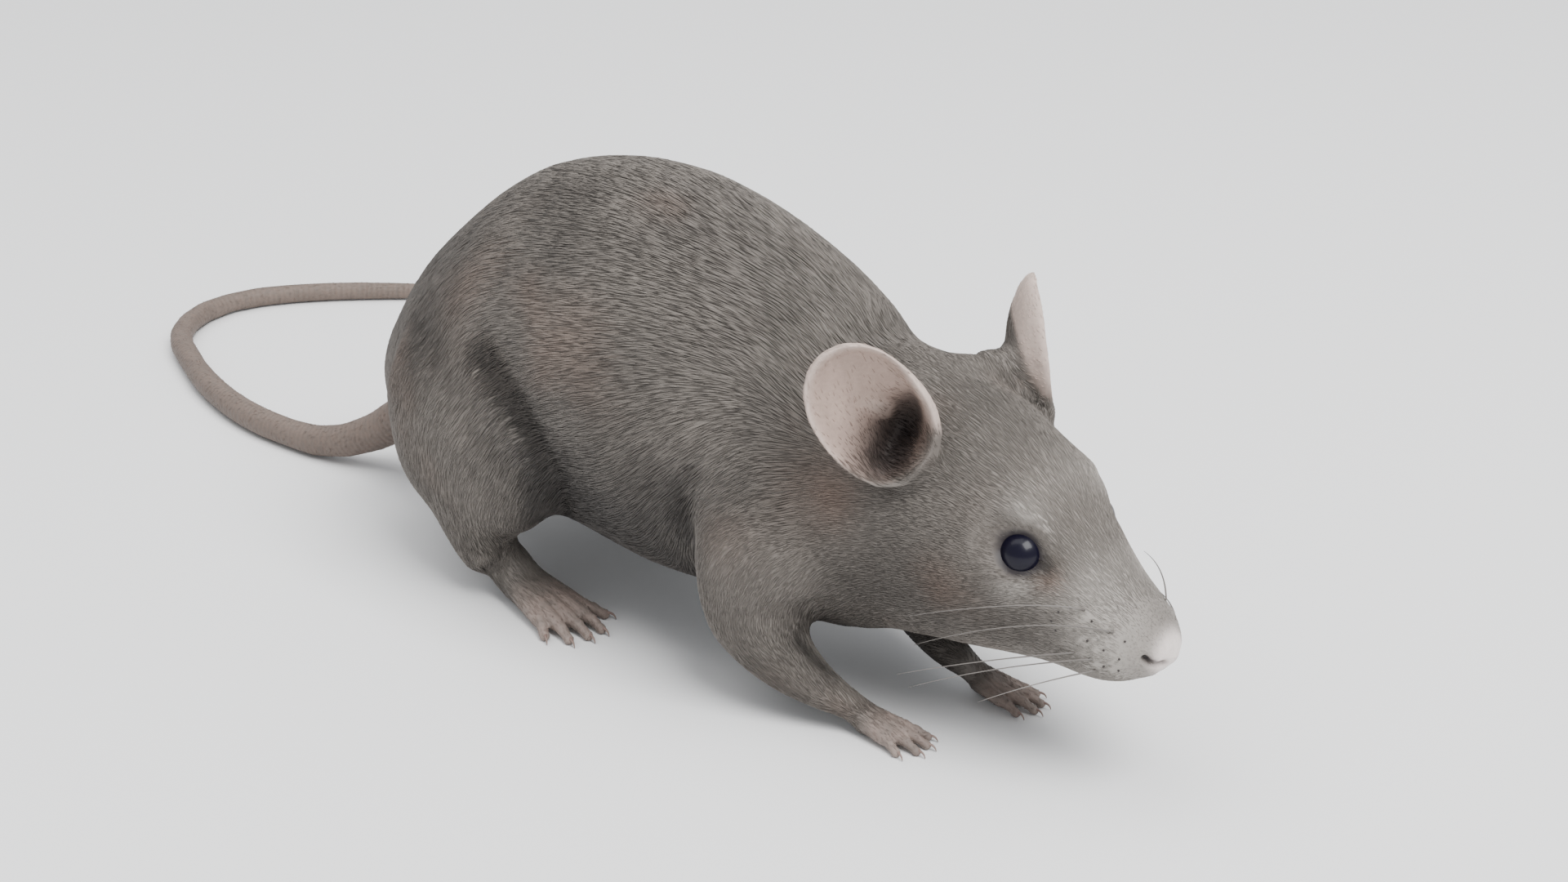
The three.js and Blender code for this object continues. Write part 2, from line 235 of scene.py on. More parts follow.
# Surfaces in numpy
class Surface:
    def __init__(self, mesh):
        self.mesh = mesh
        self.points = np.empty((len(mesh.vertices), 3), np.float32)
        mesh.vertices.foreach_get("co", self.points.ravel())
        self.points = self.points.astype(float)
        edges = np.empty((len(mesh.edges), 2), np.int32)
        mesh.edges.foreach_get("vertices", edges.ravel())
        self.ends = np.concatenate([edges[:, 0], edges[:, 1]])
        self.others = np.concatenate([edges[:, 1], edges[:, 0]])
        self.valence = np.maximum(np.bincount(self.ends, minlength=len(self.points)), 1)

    def write(self):
        self.mesh.vertices.foreach_set("co", self.points.astype(np.float32).ravel())
        self.mesh.update()

    def normals(self):
        self.write()
        out = np.empty((len(self.points), 3), np.float32)
        self.mesh.vertex_normals.foreach_get("vector", out.ravel())
        return out.astype(float)

    def push(self, way, amount):
        self.points += way * amount[:, None]

    def around(self, values):
        # the mean of each point's neighbours
        if values.ndim == 1:
            return np.bincount(self.ends, values[self.others], len(self.points)) / self.valence
        return np.stack([self.around(values[:, i]) for i in range(values.shape[1])], 1)

    def spread(self, values, steps):
        for _ in range(steps):
            values = 0.5 * values + 0.5 * self.around(values)
        return values

    def relax(self, weight, steps):
        # works only on the points that have a weight
        chosen = np.flatnonzero(weight > 1e-3)
        place = np.full(len(self.points), -1)
        place[chosen] = np.arange(len(chosen))
        used = place[self.ends] >= 0
        ends, others = place[self.ends[used]], self.others[used]
        share = (np.asarray(weight)[chosen] / self.valence[chosen])[:, None]
        keep = 1 - np.asarray(weight)[chosen][:, None]
        for _ in range(steps):
            sums = np.stack([np.bincount(ends, self.points[others, i], len(chosen)) for i in range(3)], 1)
            self.points[chosen] = keep * self.points[chosen] + share * sums


def smooth(value, low, high):
    t = np.clip((value - low) / (high - low), 0, 1)
    return t * t * (3 - 2 * t)


def awayFrom(points, centre):
    return np.linalg.norm(points - np.asarray(centre), axis=1)


def near(points, centre, reach):
    return np.exp(-((awayFrom(points, centre) / reach) ** 2))


def laidOn(way, normal):
    return unit(way - normal * (way * normal).sum(1)[:, None])


# Skin: the nodes of flesh grown together into one closed surface
skinSpec = {
    "voxel": 0.2,
    "grow": 0.22,
    "triangles": 190000,
    "setBack": (-0.2, 0, 0.1),
    "coat": {"trunk": 0.26, "neck": 0.26, "head": 0.18, "nose": 0.04, "foreleg": 0.18, "hindleg": 0.22},
    # flesh that fills in round the foot of each ear: place and radius
    "earFoot": [
        ((2, 6, 20.4), 1.7), ((-0.8, 6.8, 21), 1.9), ((-1.4, 2.6, 22.9), 2.2), ((-0.6, 4.6, 22.7), 2.1),
    ],
}
midline = -1.6  # the trunk's middle plane lies this far to the left of the head's
groups = ("trunk", "neck", "head", "nose", "ear", "foreleg", "forefoot", "hindleg", "hindfoot", "tail")
fleshNodes = [n for n in sorted(nodes) if not n.startswith(("eye", "claw"))]


def groupOf(name):
    return groups.index(name.split("_")[0])


def nodeMesh(name, grow=0.0):
    bm = bmesh.new()
    bm.from_mesh(nodes[name].data)
    for v in bm.verts:
        v.co = Vector(toMouse(v.co))
    bmesh.ops.remove_doubles(bm, verts=bm.verts, dist=1e-3)
    bm.normal_update()
    moves = [v.normal * grow for v in bm.verts]
    for v, move in zip(bm.verts, moves):
        v.co += move
    return bm


def curveThrough(places, steps):
    # a smooth bend through three places
    a, b, c = (Vector(p) for p in places)
    turn = b * 2 - (a + c) / 2
    shares = (i / steps for i in range(steps + 1))
    return [a * (1 - t) ** 2 + turn * 2 * t * (1 - t) + c * t * t for t in shares]


def taperedTube(bm, spine, first, last, sides, power=1.0):
    rings = []
    for i, place in enumerate(spine):
        ahead = (spine[min(i + 1, len(spine) - 1)] - spine[max(i - 1, 0)]).normalized()
        turn = ahead.to_track_quat("Z", "Y").to_matrix().to_4x4()
        turn.translation = place
        radius = last + (first - last) * (1 - i / (len(spine) - 1)) ** power
        end = i in (0, len(spine) - 1)
        ring = bmesh.ops.create_circle(bm, cap_ends=end, segments=sides, radius=radius, matrix=turn)
        rings.append(ring["verts"])
    for lower, upper in zip(rings, rings[1:]):
        pair = set(lower) | set(upper)
        edges = {e for v in pair for e in v.link_edges if e.other_vert(v) in pair}
        edges = [e for e in edges if (e.verts[0] in lower) == (e.verts[1] in lower)]
        bmesh.ops.bridge_loops(bm, edges=edges)


# Feet: toes along their bones
footSpec = {
    # toes: along and inwards from the ball of the foot, splay inwards, length; wrist and sole: along,
    # height, radius; where the finer foot starts, where the solid one is cut, where the bare skin starts
    "hindfoot": {
        "toes": [
            (0.2, -1.7, -24, 1.7), (1.2, -1.1, -8, 2.2), (1.5, 0, 0, 2.3), (1.4, 1.2, 4, 2.2),
            (0.4, 1.9, 34, 1.8),
        ],
        "toe": 0.37, "claw": 0.9, "wrist": (-4.6, 1.75, 1.05), "sole": (-5.0, 0.9, 0.85),
        "from": (-4.4, -1.6), "cut": -0.9, "bare": (-4.6, 0.4),
    },
    "forefoot": {
        "toes": [(0.2, -1.0, -22, 1.5), (0.8, -0.4, -7, 1.8), (0.9, 0.35, 3, 1.8), (0.6, 1.0, 14, 1.6)],
        "toe": 0.3, "claw": 0.75, "wrist": (-2.3, 1.2, 0.78), "sole": (-2.0, 0.62, 0.56),
        "from": (-2.4, -0.6), "cut": -0.5, "bare": (-2.6, 0.3),
    },
}
footReach = 7.5  # a foot's own points lie this close to its ball
footPlaces = {
    # side, ball of the foot, heading
    "hindfoot_right": (-1, (-28.3, -11.2), -5),
    "hindfoot_left": (1, (-29.2, 8.2), 6),
    "forefoot_right": (-1, (0.8, -6.8), 8),
    "forefoot_left": (1, (3.0, 2.85), 6),
}


def beside(foot, along, inwards, high):
    side, ball, heading = footPlaces[foot]
    turn = math.radians(heading)
    left = -side * inwards
    return np.array([
        ball[0] + along * math.cos(turn) - left * math.sin(turn),
        ball[1] + along * math.sin(turn) + left * math.cos(turn),
        high,
    ])


def aheadOf(foot):
    return beside(foot, 1, 0, 0) - beside(foot, 0, 0, 0)


def specOf(foot):
    return footSpec[foot.split("_")[0]]


def toesOf(foot):
    rows = list(specOf(foot)["toes"])
    if foot == "forefoot_left":
        rows[3] = (0.35, 1.25, 10, 1.6)
    return rows


def toeCourse(foot, row):
    spec = specOf(foot)
    along, inwards, splay, length = row
    turn, r = math.radians(splay), spec["toe"]

    def step(share, high):
        return beside(foot, along + share * math.cos(turn), inwards + share * math.sin(turn), high)

    claw = spec["claw"]
    return {
        "root": step(0.1 * length, 2.3 * r),
        "knuckle": step(length * 0.55, 2.1 * r),
        "tip": step(length + 0.1 * claw, 1.0 * r),
        "nail": [
            step(length + 0.05 * claw, 1.3 * r),
            step(length + 0.75 * claw, 1.35 * r),
            step(length + 1.1 * claw, 0.06),
        ],
    }


def bonesOf(foot):
    # every bone is two places with a radius at each
    spec, rows = specOf(foot), toesOf(foot)
    r = spec["toe"]
    along, high, thick = spec["wrist"]
    bones = []
    for row in rows:
        toe = toeCourse(foot, row)
        wrist = beside(foot, along, row[1] * 0.45, high)
        bones.append((wrist, toe["root"], thick * 0.85, r * 1.55))
        bones.append((toe["root"], toe["knuckle"], r * 1.3, r * 1.12))
        bones.append((toe["knuckle"], toe["tip"], r * 1.05, r * 0.9))
        bones.append((toe["tip"], toe["tip"] + (0, 0, 0.01), r * 0.98, r * 0.98))
    along, high, thick = spec["sole"]
    for inwards in (-0.5, 0.5):
        a = beside(foot, along, inwards * thick, high)
        b = beside(foot, rows[1][0] - 1.2, inwards * 1.6 * thick, high * 0.85)
        bones.append((a, b, thick, thick * 0.85))
    return bones


def shapeFeet(surface, steps=12, web=0.045):
    for foot in footPlaces:
        spec, middle = specOf(foot), beside(foot, 0, 0, 1)
        close = np.flatnonzero(awayFrom(surface.points, middle) < footReach)
        hold = smooth((surface.points[close] - middle) @ aheadOf(foot), *spec["from"])
        hold *= smooth(mask["forefoot"][close] + mask["hindfoot"][close], 0.1, 0.4)
        close, hold = close[hold > 0.01], hold[hold > 0.01]
        weight = np.zeros(len(surface.points))
        weight[close] = 0.3 * hold
        bones = bonesOf(foot)
        for _ in range(steps):
            p = surface.points[close]
            total, push = np.zeros(len(p)), np.zeros_like(p)
            for a, b, thickA, thickB in bones:
                t = np.clip((p - a) @ (b - a) / ((b - a) @ (b - a)), 0, 1)[:, None]
                out = p - (a + t * (b - a))
                away = np.linalg.norm(out, axis=1)
                share = np.exp(-np.clip(away - (thickA + t[:, 0] * (thickB - thickA)), -1, 2) / web)
                total += share
                push += out / np.maximum(away, 1e-6)[:, None] * share[:, None]
            gap = -web * np.log(total)
            surface.points[close] = p - unit(push) * (np.clip(gap, -0.25, 0.25) * hold * 0.8)[:, None]
            surface.relax(weight, 1)
        # the wrist or ankle flows into the limb
        reach = awayFrom(surface.points, beside(foot, spec["from"][0] - 0.6, 0, 2.4))
        surface.relax(0.7 * (1 - smooth(reach, 1.2, 2.6 if "fore" in foot else 2.2)), 30)
    surface.points[:, 2] = np.maximum(surface.points[:, 2], 0.0)


def growTogether(spec):
    whole = bmesh.new()
    for name in fleshNodes + ["eye_left", "eye_right"]:
        part = nodeMesh(name, 0.0 if "foot" in name else spec["grow"])
        if "foot" in name:
            # the toes of the solid give way to finer ones
            bmesh.ops.translate(part, verts=part.verts, vec=spec["setBack"])
            geometry = part.verts[:] + part.edges[:] + part.faces[:]
            plane = {"plane_co": beside(name, specOf(name)["cut"], 0, 1), "plane_no": aheadOf(name)}
            bmesh.ops.bisect_plane(part, geom=geometry, clear_outer=True, **plane)
            bmesh.ops.holes_fill(part, edges=[e for e in part.edges if e.is_boundary])
        mesh = meshFrom(part, "part")
        whole.from_mesh(mesh)
        bpy.data.meshes.remove(mesh)
    for foot in footPlaces:
        for a, b, thickA, thickB in bonesOf(foot):
            for place, thick in ((a, thickA), (b, thickB)):
                at = Matrix.Translation(Vector(place))
                bmesh.ops.create_icosphere(whole, subdivisions=2, radius=thick, matrix=at)
            if (Vector(a) - Vector(b)).length > 0.1:
                taperedTube(whole, [Vector(a), Vector(b)], thickA, thickB, 12)
    for place, radius in spec["earFoot"]:
        for side in (1, -1):
            at = Matrix.Translation(Vector(mirrored(place, side)))
            bmesh.ops.create_icosphere(whole, subdivisions=3, radius=radius, matrix=at)
    return remade(meshFrom(whole, "skin"), "REMESH", mode="VOXEL", voxel_size=spec["voxel"])


def onlyLargest(mesh):
    bm = bmesh.new()
    bm.from_mesh(mesh)
    unseen, islands = set(bm.verts), []
    while unseen:
        stack = [next(iter(unseen))]
        unseen.discard(stack[0])
        island = []
        while stack:
            v = stack.pop()
            island.append(v)
            for e in v.link_edges:
                o = e.other_vert(v)
                if o in unseen:
                    unseen.discard(o)
                    stack.append(o)
        islands.append(island)
    islands.sort(key=len)
    for island in islands[:-1]:
        bmesh.ops.delete(bm, geom=island, context="VERTS")
    bm.to_mesh(mesh)
    bm.free()
    return len(islands)


def refine(mesh, spots):
    bm = bmesh.new()
    bm.from_mesh(mesh)
    for centre, reach in spots:
        close = {v for v in bm.verts if (v.co - Vector(centre)).length < reach}
        edges = [e for e in bm.edges if e.verts[0] in close and e.verts[1] in close]
        bmesh.ops.subdivide_edges(bm, edges=edges, cuts=1, use_grid_fill=True)
    bmesh.ops.triangulate(bm, faces=[f for f in bm.faces if len(f.verts) > 4])
    bm.to_mesh(mesh)
    bm.free()


skinMesh = growTogether(skinSpec)
print("grown", len(skinMesh.vertices), "islands", onlyLargest(skinMesh))
eyeSpots = [(mirrored(eyeSpec["centre"], side), 2.9) for side in (1, -1)]
footSpots = [(beside(foot, 1.0, 0, 1.0), 4.4 if "hind" in foot else 3.3) for foot in footPlaces]
muzzleSpots = [((18.0, 0, 9.8), 2.0)] + [(mirrored((14.9, 3.2, 11.2), side), 2.6) for side in (1, -1)]
earSpots = [(mirrored((0.4, 8.8, 24.3), side), 5.6) for side in (1, -1)]
refine(skinMesh, eyeSpots + footSpots + muzzleSpots + earSpots)
skin = Surface(skinMesh)

# Which node each point of the skin belongs to, as soft masks
corners, tris, owners = [], [], []
for name in fleshNodes:
    part = nodeMesh(name)
    start = len(corners)
    corners += [v.co.copy() for v in part.verts]
    tris += [[v.index + start for v in f.verts] for f in part.faces]
    owners += [groupOf(name)] * len(part.faces)
    part.free()
tree = BVHTree.FromPolygons(corners, tris)
owner = np.array([owners[tree.find_nearest(Vector(p))[2]] for p in skin.points])
mask = {g: skin.spread((owner == i).astype(float), 14) for i, g in enumerate(groups)}
print("masks made")

# Facets go, more on the broad parts
broad = mask["trunk"] + mask["neck"] * 0.9 + mask["hindleg"] * 0.8
face = mask["head"] + mask["nose"] + mask["foreleg"] * 1.2
small = mask["ear"] * 0.8 + mask["tail"] * 0.7 + mask["forefoot"] * 0.22 + mask["hindfoot"] * 0.25
skin.relax(np.clip(broad * 0.8 + face * 0.45 + small * 0.5, 0, 0.8), 70)
normal = skin.normals()
depth = sum(mask[g] * d for g, d in skinSpec["coat"].items())
muzzle = smooth(skin.points[:, 0], 9.0, 16.0)
depth *= 1 - 0.75 * muzzle
footed = mask["forefoot"] + mask["hindfoot"]
depth += skinSpec["grow"] * (1 - footed)
skin.push(normal, -depth)
skin.write()
print("skin settled")

shapeFeet(skin)
skin.write()
print("feet shaped")


# Ears: an egg-shaped bowl that deepens to the canal, inside a rolled rim
earSpec = {
    "centre": (0.4, 8.8, 24.3), "facing": (0.71, 0.686, 0.156), "wide": 4.3, "high": 4.75,
    "mean": 1.01, "lean": 0.06, "long": 0.14, "towards": -46,
    # the left ear is held flatter, and its fur starts lower down the front
    "deep": {1: 0.2, -1: 1.0}, "furry": {1: (-3.2, -1.2), -1: (-2.4, 0.2)},
    # rows of middle, reach and share in the ear's own frame
    "bowl": [((1.9, -1.7), 2.5, 1.0)],
    "canal": [((2.9, -0.4), 1.1, 0.6), ((2.5, -2.3), 1.5, 1.0), ((1.5, -3.4), 1.1, 0.8)],
    "shade": [
        ((3.4, 0.6), 1.4, 0.7), ((3.3, -1.6), 1.7, 1.4), ((2.2, -3.8), 2.0, 1.6), ((0.9, -2.8), 2.5, 0.8),
    ],
}


def earFrame(side):
    facing = unit(mirrored(earSpec["facing"], side))
    across = unit(mirrored((0.695, -0.719, 0), side))
    upward = np.cross(facing, across) * -side
    return mirrored(earSpec["centre"], side), facing, across, upward


def dip(name, a, b):
    rows = earSpec[name]
    total = sum(np.exp(-((a - u) ** 2 + (b - v) ** 2) / reach**2) * share for (u, v), reach, share in rows)
    return 1 - np.exp(-1.3 * total)


earInner = np.zeros(len(skin.points))
earHollowShade = np.zeros(len(skin.points))
earBare = np.zeros(len(skin.points))
normal = skin.normals()
earAll = smooth(mask["ear"], 0.25, 0.7)
for side in (1, -1):
    centre, facing, across, upward = earFrame(side)
    offset = skin.points - centre
    a, b = offset @ across, offset @ upward
    here = earAll * (skin.points[:, 1] * side > 0)
    level = offset @ facing
    inFront = here * smooth(normal @ facing, 0.05, 0.45)
    inFront *= smooth(level + 0.4 * np.maximum(-b, 0), -1.8, -1.3)
    angle = np.arctan2(b, a) - math.radians(earSpec["towards"])
    egg = earSpec["mean"] + earSpec["lean"] * np.cos(angle) + earSpec["long"] * np.cos(2 * angle)
    out = np.hypot(a / earSpec["wide"], b / earSpec["high"]) / egg
    bowl, canal = dip("bowl", a, b), dip("canal", a, b)
    # the front rim is the thickest, the lower back rim the thinnest
    front = smooth(0.75 * a + 0.66 * b, -3.0, 2.2)
    edge = 0.87 - 0.1 * smooth(a, 0.5, 3.5)
    roll = np.exp(-(((out - edge - 0.08) / 0.09) ** 2)) * front
    sunk = (1 - smooth(out, edge - 0.03, edge + 0.07)) * (0.9 * canal + 0.3 * bowl)
    behind = smooth(b, -2.2, -0.6)
    deep = earSpec["deep"][side]
    skin.push(facing, -here * (0.6 * bowl + 0.6 * behind * sunk - 0.25 * roll) * deep)
    skin.push(facing, -inFront * ((1.8 - 0.6 * behind) * sunk - 0.55 * roll) * deep)
    earInner = np.maximum(earInner, inFront * (1 - smooth(out, edge - 0.05, edge + 0.08)))
    # painted shade deep in the ear's hollow, darkest under the front rim
    dark = dip("shade", a, b) * (1 - smooth(out, edge - 0.05, edge + 0.03 + 0.1 * smooth(-b, 2.5, 4)))
    earHollowShade = np.maximum(earHollowShade, inFront * dark)
    backBare = here * smooth(b + 4.0 * level, -7.2, -3.4)
    furry = smooth(a, 1.8, 3.5) * (1 - smooth(b, *earSpec["furry"][side]))
    earBare = np.maximum(earBare, np.maximum(inFront, backBare) * smooth(b, -4.0, -2.6) * (1 - furry))
skin.relax(0.5 * earAll, 5)
skin.write()
print("ears shaped")

# Lids: the skin closes round each eyeball and opens in an almond
lidSpec = {
    "long": 0.86, "tall": 0.76, "thick": 0.10, "inside": 0.80, "brow": 0.3,
    # height, edge and fall of the mound round the eye; depth and edge of the dish in it
    "rise": 0.85, "crest": 1.1, "slope": 1.4, "dish": 1.0, "hollow": 1.25,
    # distances from the eye: the skin that closes on it, the lids' hem, the dark rim
    "reach": 3.2, "hem": (1.8, 2.4), "rim": (1.66, 2.05),
}


def eyeFrame(side):
    centre = mirrored(np.add(eyeSpec["centre"], eyeSpec["seat"][side]), side)
    axis = unit(mirrored(eyeSpec["axis"], side))
    forward = unit(mirrored((1.0, 0, -0.25), side))
    along = unit(forward - axis * (forward @ axis))
    upward = np.cross(along, axis) * side
    return centre, axis, along, upward


def lidPlaces(points, side):
    # distance and direction from the eye, with the span of its opening, 1 at the edge of the lids
    centre, axis, along, upward = eyeFrame(side)
    offset = points - centre
    distance = np.linalg.norm(offset, axis=1)
    d = offset / np.maximum(distance, 1e-6)[:, None]
    u, v = d @ along / lidSpec["long"], d @ upward / lidSpec["tall"]
    span = (np.abs(u) ** 1.8 + np.abs(v) ** 2) ** 0.53
    close = (distance < lidSpec["reach"]) & (d @ axis > 0)
    return centre, distance, d, v, np.where(close, span, 9.0)


def shapeLids(surface, side):
    centre, axis, _, upward = eyeFrame(side)
    offset = surface.points - centre
    proud = offset @ axis
    aside = np.linalg.norm(offset - proud[:, None] * axis, axis=1)
    fall = np.maximum(aside - lidSpec["crest"], 0) / lidSpec["slope"]
    mound = lidSpec["rise"] * np.exp(-(fall**2)) - 0.15 * aside
    lift = np.where((proud > -1.6) & (aside < 4.4), np.maximum(mound - proud, 0), 0)
    lift *= 1 - smooth(aside, 2.4, 4.4)
    # a dish lies round the eye, steeper under the brow than behind
    steep = 0.5 + 0.4 * smooth(offset @ upward / np.maximum(aside, 0.1), 0.5, 0.95)
    cap = lidSpec["dish"] + steep * np.maximum(aside - lidSpec["hollow"], 0)
    press = np.where(proud > 0, np.maximum(proud - cap, 0), 0) * (1 - smooth(aside, 2.8, 3.9))
    surface.push(axis, lift - press)
    ring = 0.6 * smooth(aside, 0.9, 1.6) * (1 - smooth(aside, 3.0, 4.6))
    surface.relax(np.where(proud > -1.6, ring, 0), 25)
    centre, distance, d, v, span = lidPlaces(surface.points, side)
    ball, inside = eyeSpec["radius"] + lidSpec["thick"], eyeSpec["radius"] * lidSpec["inside"]
    lid = ball + 0.12 * smooth(span, 1.0, 1.3) + lidSpec["brow"] * smooth(v, 0.85, 1.3)
    target = inside + (lid - inside) * smooth(span, 0.9, 1.06)
    inner = 1 - smooth(span, 1.0, 1.1)
    hold = inner + (1 - inner) * (1 - smooth(distance, *lidSpec["hem"]))
    moved = distance + (target - distance) * hold
    surface.points = np.where((span < 9)[:, None], centre + d * moved[:, None], surface.points)


browSpec = [
    # place, reach, lift
    ((7.7, 4.2, 18.0), 1.8, 0.25), ((8.7, 4.3, 17.5), 1.5, 0.4),
]
normal = skin.spread(skin.normals(), 6)
for place, reach, lift in browSpec:
    for side in (1, -1):
        skin.push(normal, lift * near(skin.points, mirrored(place, side), reach))


def fromEyes():
    return np.min([awayFrom(skin.points, eyeFrame(side)[0]) for side in (1, -1)], axis=0)


eyeAway = fromEyes()
for side in (1, -1):
    shapeLids(skin, side)
skin.relax(0.5 * smooth(eyeAway, 1.7, 1.95) * (1 - smooth(eyeAway, 2.8, 3.6)), 22)
eyeAway = fromEyes()
rim = 1 - smooth(eyeAway, *lidSpec["rim"])
skin.write()
print("lids shaped")

# Folds: courses pressed into the skin, each with its depth and reach
foldSpec = [
    # side (0 for both), depth, reach, places
    (0, 0.9, 1.2, [(-32, 12.6, 21.4), (-30.2, 12.9, 19.4), (-28.4, 13.1, 17.7), (-27.1, 12.9, 16),
                   (-26.4, 12.4, 14.2), (-26.4, 11.5, 12.4), (-27.6, 9.6, 10)]),
    (0, 0.8, 2.8, [(-29.4, 12.9, 20.6), (-26.4, 13, 17.6), (-24.6, 12.6, 14.6), (-24.6, 11.4, 12)]),
    (0, 0.8, 1.1, [(-13, 9.6, 16.8), (-13.6, 10, 13.9), (-13.9, 10.3, 11.6), (-13.6, 10.2, 9.5),
                   (-12.8, 9.6, 7.6)]),
    (0, 0.5, 2.4, [(-15.4, 10.4, 15), (-15.8, 10.6, 11.6), (-15.4, 10, 8.6)]),
    (-1, 0.3, 0.7, [(-5.6, -9, 6.4), (-4.6, -8.3, 5.3), (-3.7, -7.9, 4.6)]),
]


def onCourse(points, places):
    # the distance to a course of places, and how far along it
    best = np.full(len(points), 1e9)
    along = np.zeros(len(points))
    walked = 0.0
    for a, b in zip(np.array(places[:-1], float), np.array(places[1:], float)):
        span = np.linalg.norm(b - a)
        t = np.clip((points - a) @ (b - a) / span**2, 0, 1)
        away = np.linalg.norm(points - (a + t[:, None] * (b - a)), axis=1)
        closer = away < best
        best = np.where(closer, away, best)
        along = np.where(closer, walked + t * span, along)
        walked += span
    return best, along


creased = np.zeros(len(skin.points))
normal = skin.spread(skin.normals(), 6)
for sided, deep, reach, places in foldSpec:
    for side in (1, -1) if sided == 0 else (1,):
        course = [(px, side * py + midline if sided == 0 else py, pz) for px, py, pz in places]
        away, _ = onCourse(skin.points, course)
        fold = np.exp(-((away / reach) ** 2))
        skin.push(normal, -deep * fold)
        creased = np.maximum(creased, fold * (1 if reach < 2 else 0.35))
swellSpec = [
    # place (y outwards from the midline), reach, lift
    ((-33.4, 12.6, 14.5), 3.6, 0.7), ((-35.5, 11.6, 20), 5, 0.45), ((-34.5, 12, 9.6), 2.6, 0.35),
    ((-9.2, 9.8, 12.6), 3.4, 0.6), ((-9, 8.6, 17), 3.6, 0.3),
]
for place, reach, lift in swellSpec:
    for side in (1, -1):
        at = (place[0], side * place[1] + midline, place[2])
        skin.push(normal, lift * near(skin.points, at, reach))
skin.write()

# Nose: two soft lobes with a groove between them, and a comma-shaped nostril on each side
noseSpec = {
    "nostril": [(17.45, 1.85, 10.55), (17.8, 1.6, 10.2), (18.1, 1.2, 10.0), (18.25, 0.85, 10.05)],
    "deep": 0.6, "reach": 0.23,
}
normal = skin.spread(skin.normals(), 3)
nostril = np.zeros(len(skin.points))
for side in (1, -1):
    away, _ = onCourse(skin.points, [mirrored(p, side) for p in noseSpec["nostril"]])
    hole = np.exp(-((away / noseSpec["reach"]) ** 2))
    wing = np.exp(-((away / 0.8) ** 2)) - hole
    skin.push(normal, 0.14 * wing - noseSpec["deep"] * hole)
    nostril = np.maximum(nostril, hole)
x, y, z = skin.points.T
groove = np.exp(-((y / 0.22) ** 2)) * smooth(x, 16.8, 17.8) * smooth(10.6 - z, 0, 0.8)
skin.push(normal, -0.16 * groove)
mouthCourse = [(17.2, 0.0, 8.15), (16.6, 1.3, 7.9), (15.0, 2.1, 7.75), (13.2, 2.9, 8.0)]
mouth = np.zeros(len(skin.points))
for side in (1, -1):
    away, along = onCourse(skin.points, [mirrored(p, side) for p in mouthCourse])
    mouth = np.maximum(mouth, np.exp(-((away / 0.3) ** 2)) * (1 - 0.6 * smooth(along, 2.5, 4.6)))
skin.push(normal, -0.28 * mouth)
skin.write()
print("folds and nose shaped")

# Markings and painted light and shade, kept as fields of the skin and shared by the coat
tailCourse = [
    (-53, -1.6, 9), (-57.5, -2, 6), (-61.2, -3.2, 3.4), (-65, -4.8, 1.8), (-70, -5.8, 1.2),
    (-77, -6, 1.2), (-85.5, -4.5, 1.2), (-93.5, -1.8, 1.1), (-100, 1.2, 1.1), (-104.2, 6.2, 1),
    (-105, 11.5, 1), (-102.9, 16.5, 0.9), (-98.2, 22.5, 0.8), (-91.5, 28.5, 0.7), (-83, 32.5, 0.6),
    (-75, 34, 0.4),
]
toneSpots = [
    # place, reach, lighter (+) or darker (-): mostly painted light and shade, partly the fur's own tone
    ((9.5, 3.9, 18.3), 1.8, 0.35), ((9.8, 5.2, 14.2), 1.6, 0.5), ((15.5, 3, 10.5), 3.2, 0.5),
    ((11, 3, 8), 3, 0.25), ((12, 3.4, 15.6), 1.5, -0.1), ((11.3, 3.7, 15.2), 0.8, -0.9),
    ((1, 6.5, 20.5), 2.6, -0.45), ((-8, 8, 22), 4, -0.15), ((-12, 0, 29), 9, -0.12),
    ((-27, 4, 31), 8, 0.06), ((-38, 8, 26), 7, -0.2), ((-48, 7, 22), 9, -0.5),
    ((-38.5, 13.4, 20.1), 4, -0.4), ((-19.9, 13.4, 14.1), 3.5, -0.25), ((5, 7.1, 14.2), 2.5, -0.12),
    ((13, 2.2, 13.8), 2.6, 0.38), ((9, 1, 19), 3, 0.15), ((3, 7.6, 13.5), 3, -0.15),
    ((-22, 11, 9), 5, -0.3), ((-29, 10, 9), 3.5, -0.6), ((-5, 4, 6.5), 4, -0.5),
    ((-37, 12.5, 8), 3.5, 0.15), ((-11, 10.5, 11), 4, 0.04),
]
brownSpots = [
    ((11.7, 3.9, 14.4), 1.4, 0.75), ((5.5, 7.2, 14), 2.4, 0.5), ((-3.5, 8.2, 17), 3.4, 0.55),
    ((-9, 11, 14), 3, 0.4), ((-22, 12, 24), 4.5, 0.5), ((-34, 11, 26), 5, 0.45),
    ((-40, 12, 14), 4, 0.55), ((-26, 12.5, 14), 3, 0.35), ((2, 3, 23), 2.2, 0.4),
]
follicles = [
    (12.43, 4.21, 12.83), (11.94, 4.44, 12.16), (14.38, 3.33, 12.63), (12.39, 4.3, 11.58),
    (15.5, 3.01, 12.17), (14.38, 3.72, 11.35), (16.4, 2.64, 11.68), (15.4, 3.45, 10.93),
    (16.1, 2.6, 10.51), (14.52, 3.71, 10.12), (15.45, 3.32, 9.79), (16.1, 2.68, 9.62), (14.8, 3.42, 9.3),
]


def ripple(points, size, seed, waves=7):
    # a smooth, repeatable unevenness between about -1 and 1
    rng = np.random.default_rng(seed)
    total = np.zeros(len(points))
    for _ in range(waves):
        way = unit(rng.normal(size=3)) * (2 * math.pi / (size * rng.uniform(0.7, 1.5)))
        total += np.sin(points @ way + rng.uniform(0, 6.3))
    return total / math.sqrt(waves)


def bothSides(points, rows):
    out = np.zeros(len(points))
    for place, reach, amount in rows:
        for side in (1, -1):
            out += amount * near(points, mirrored(place, side), reach)
    return out


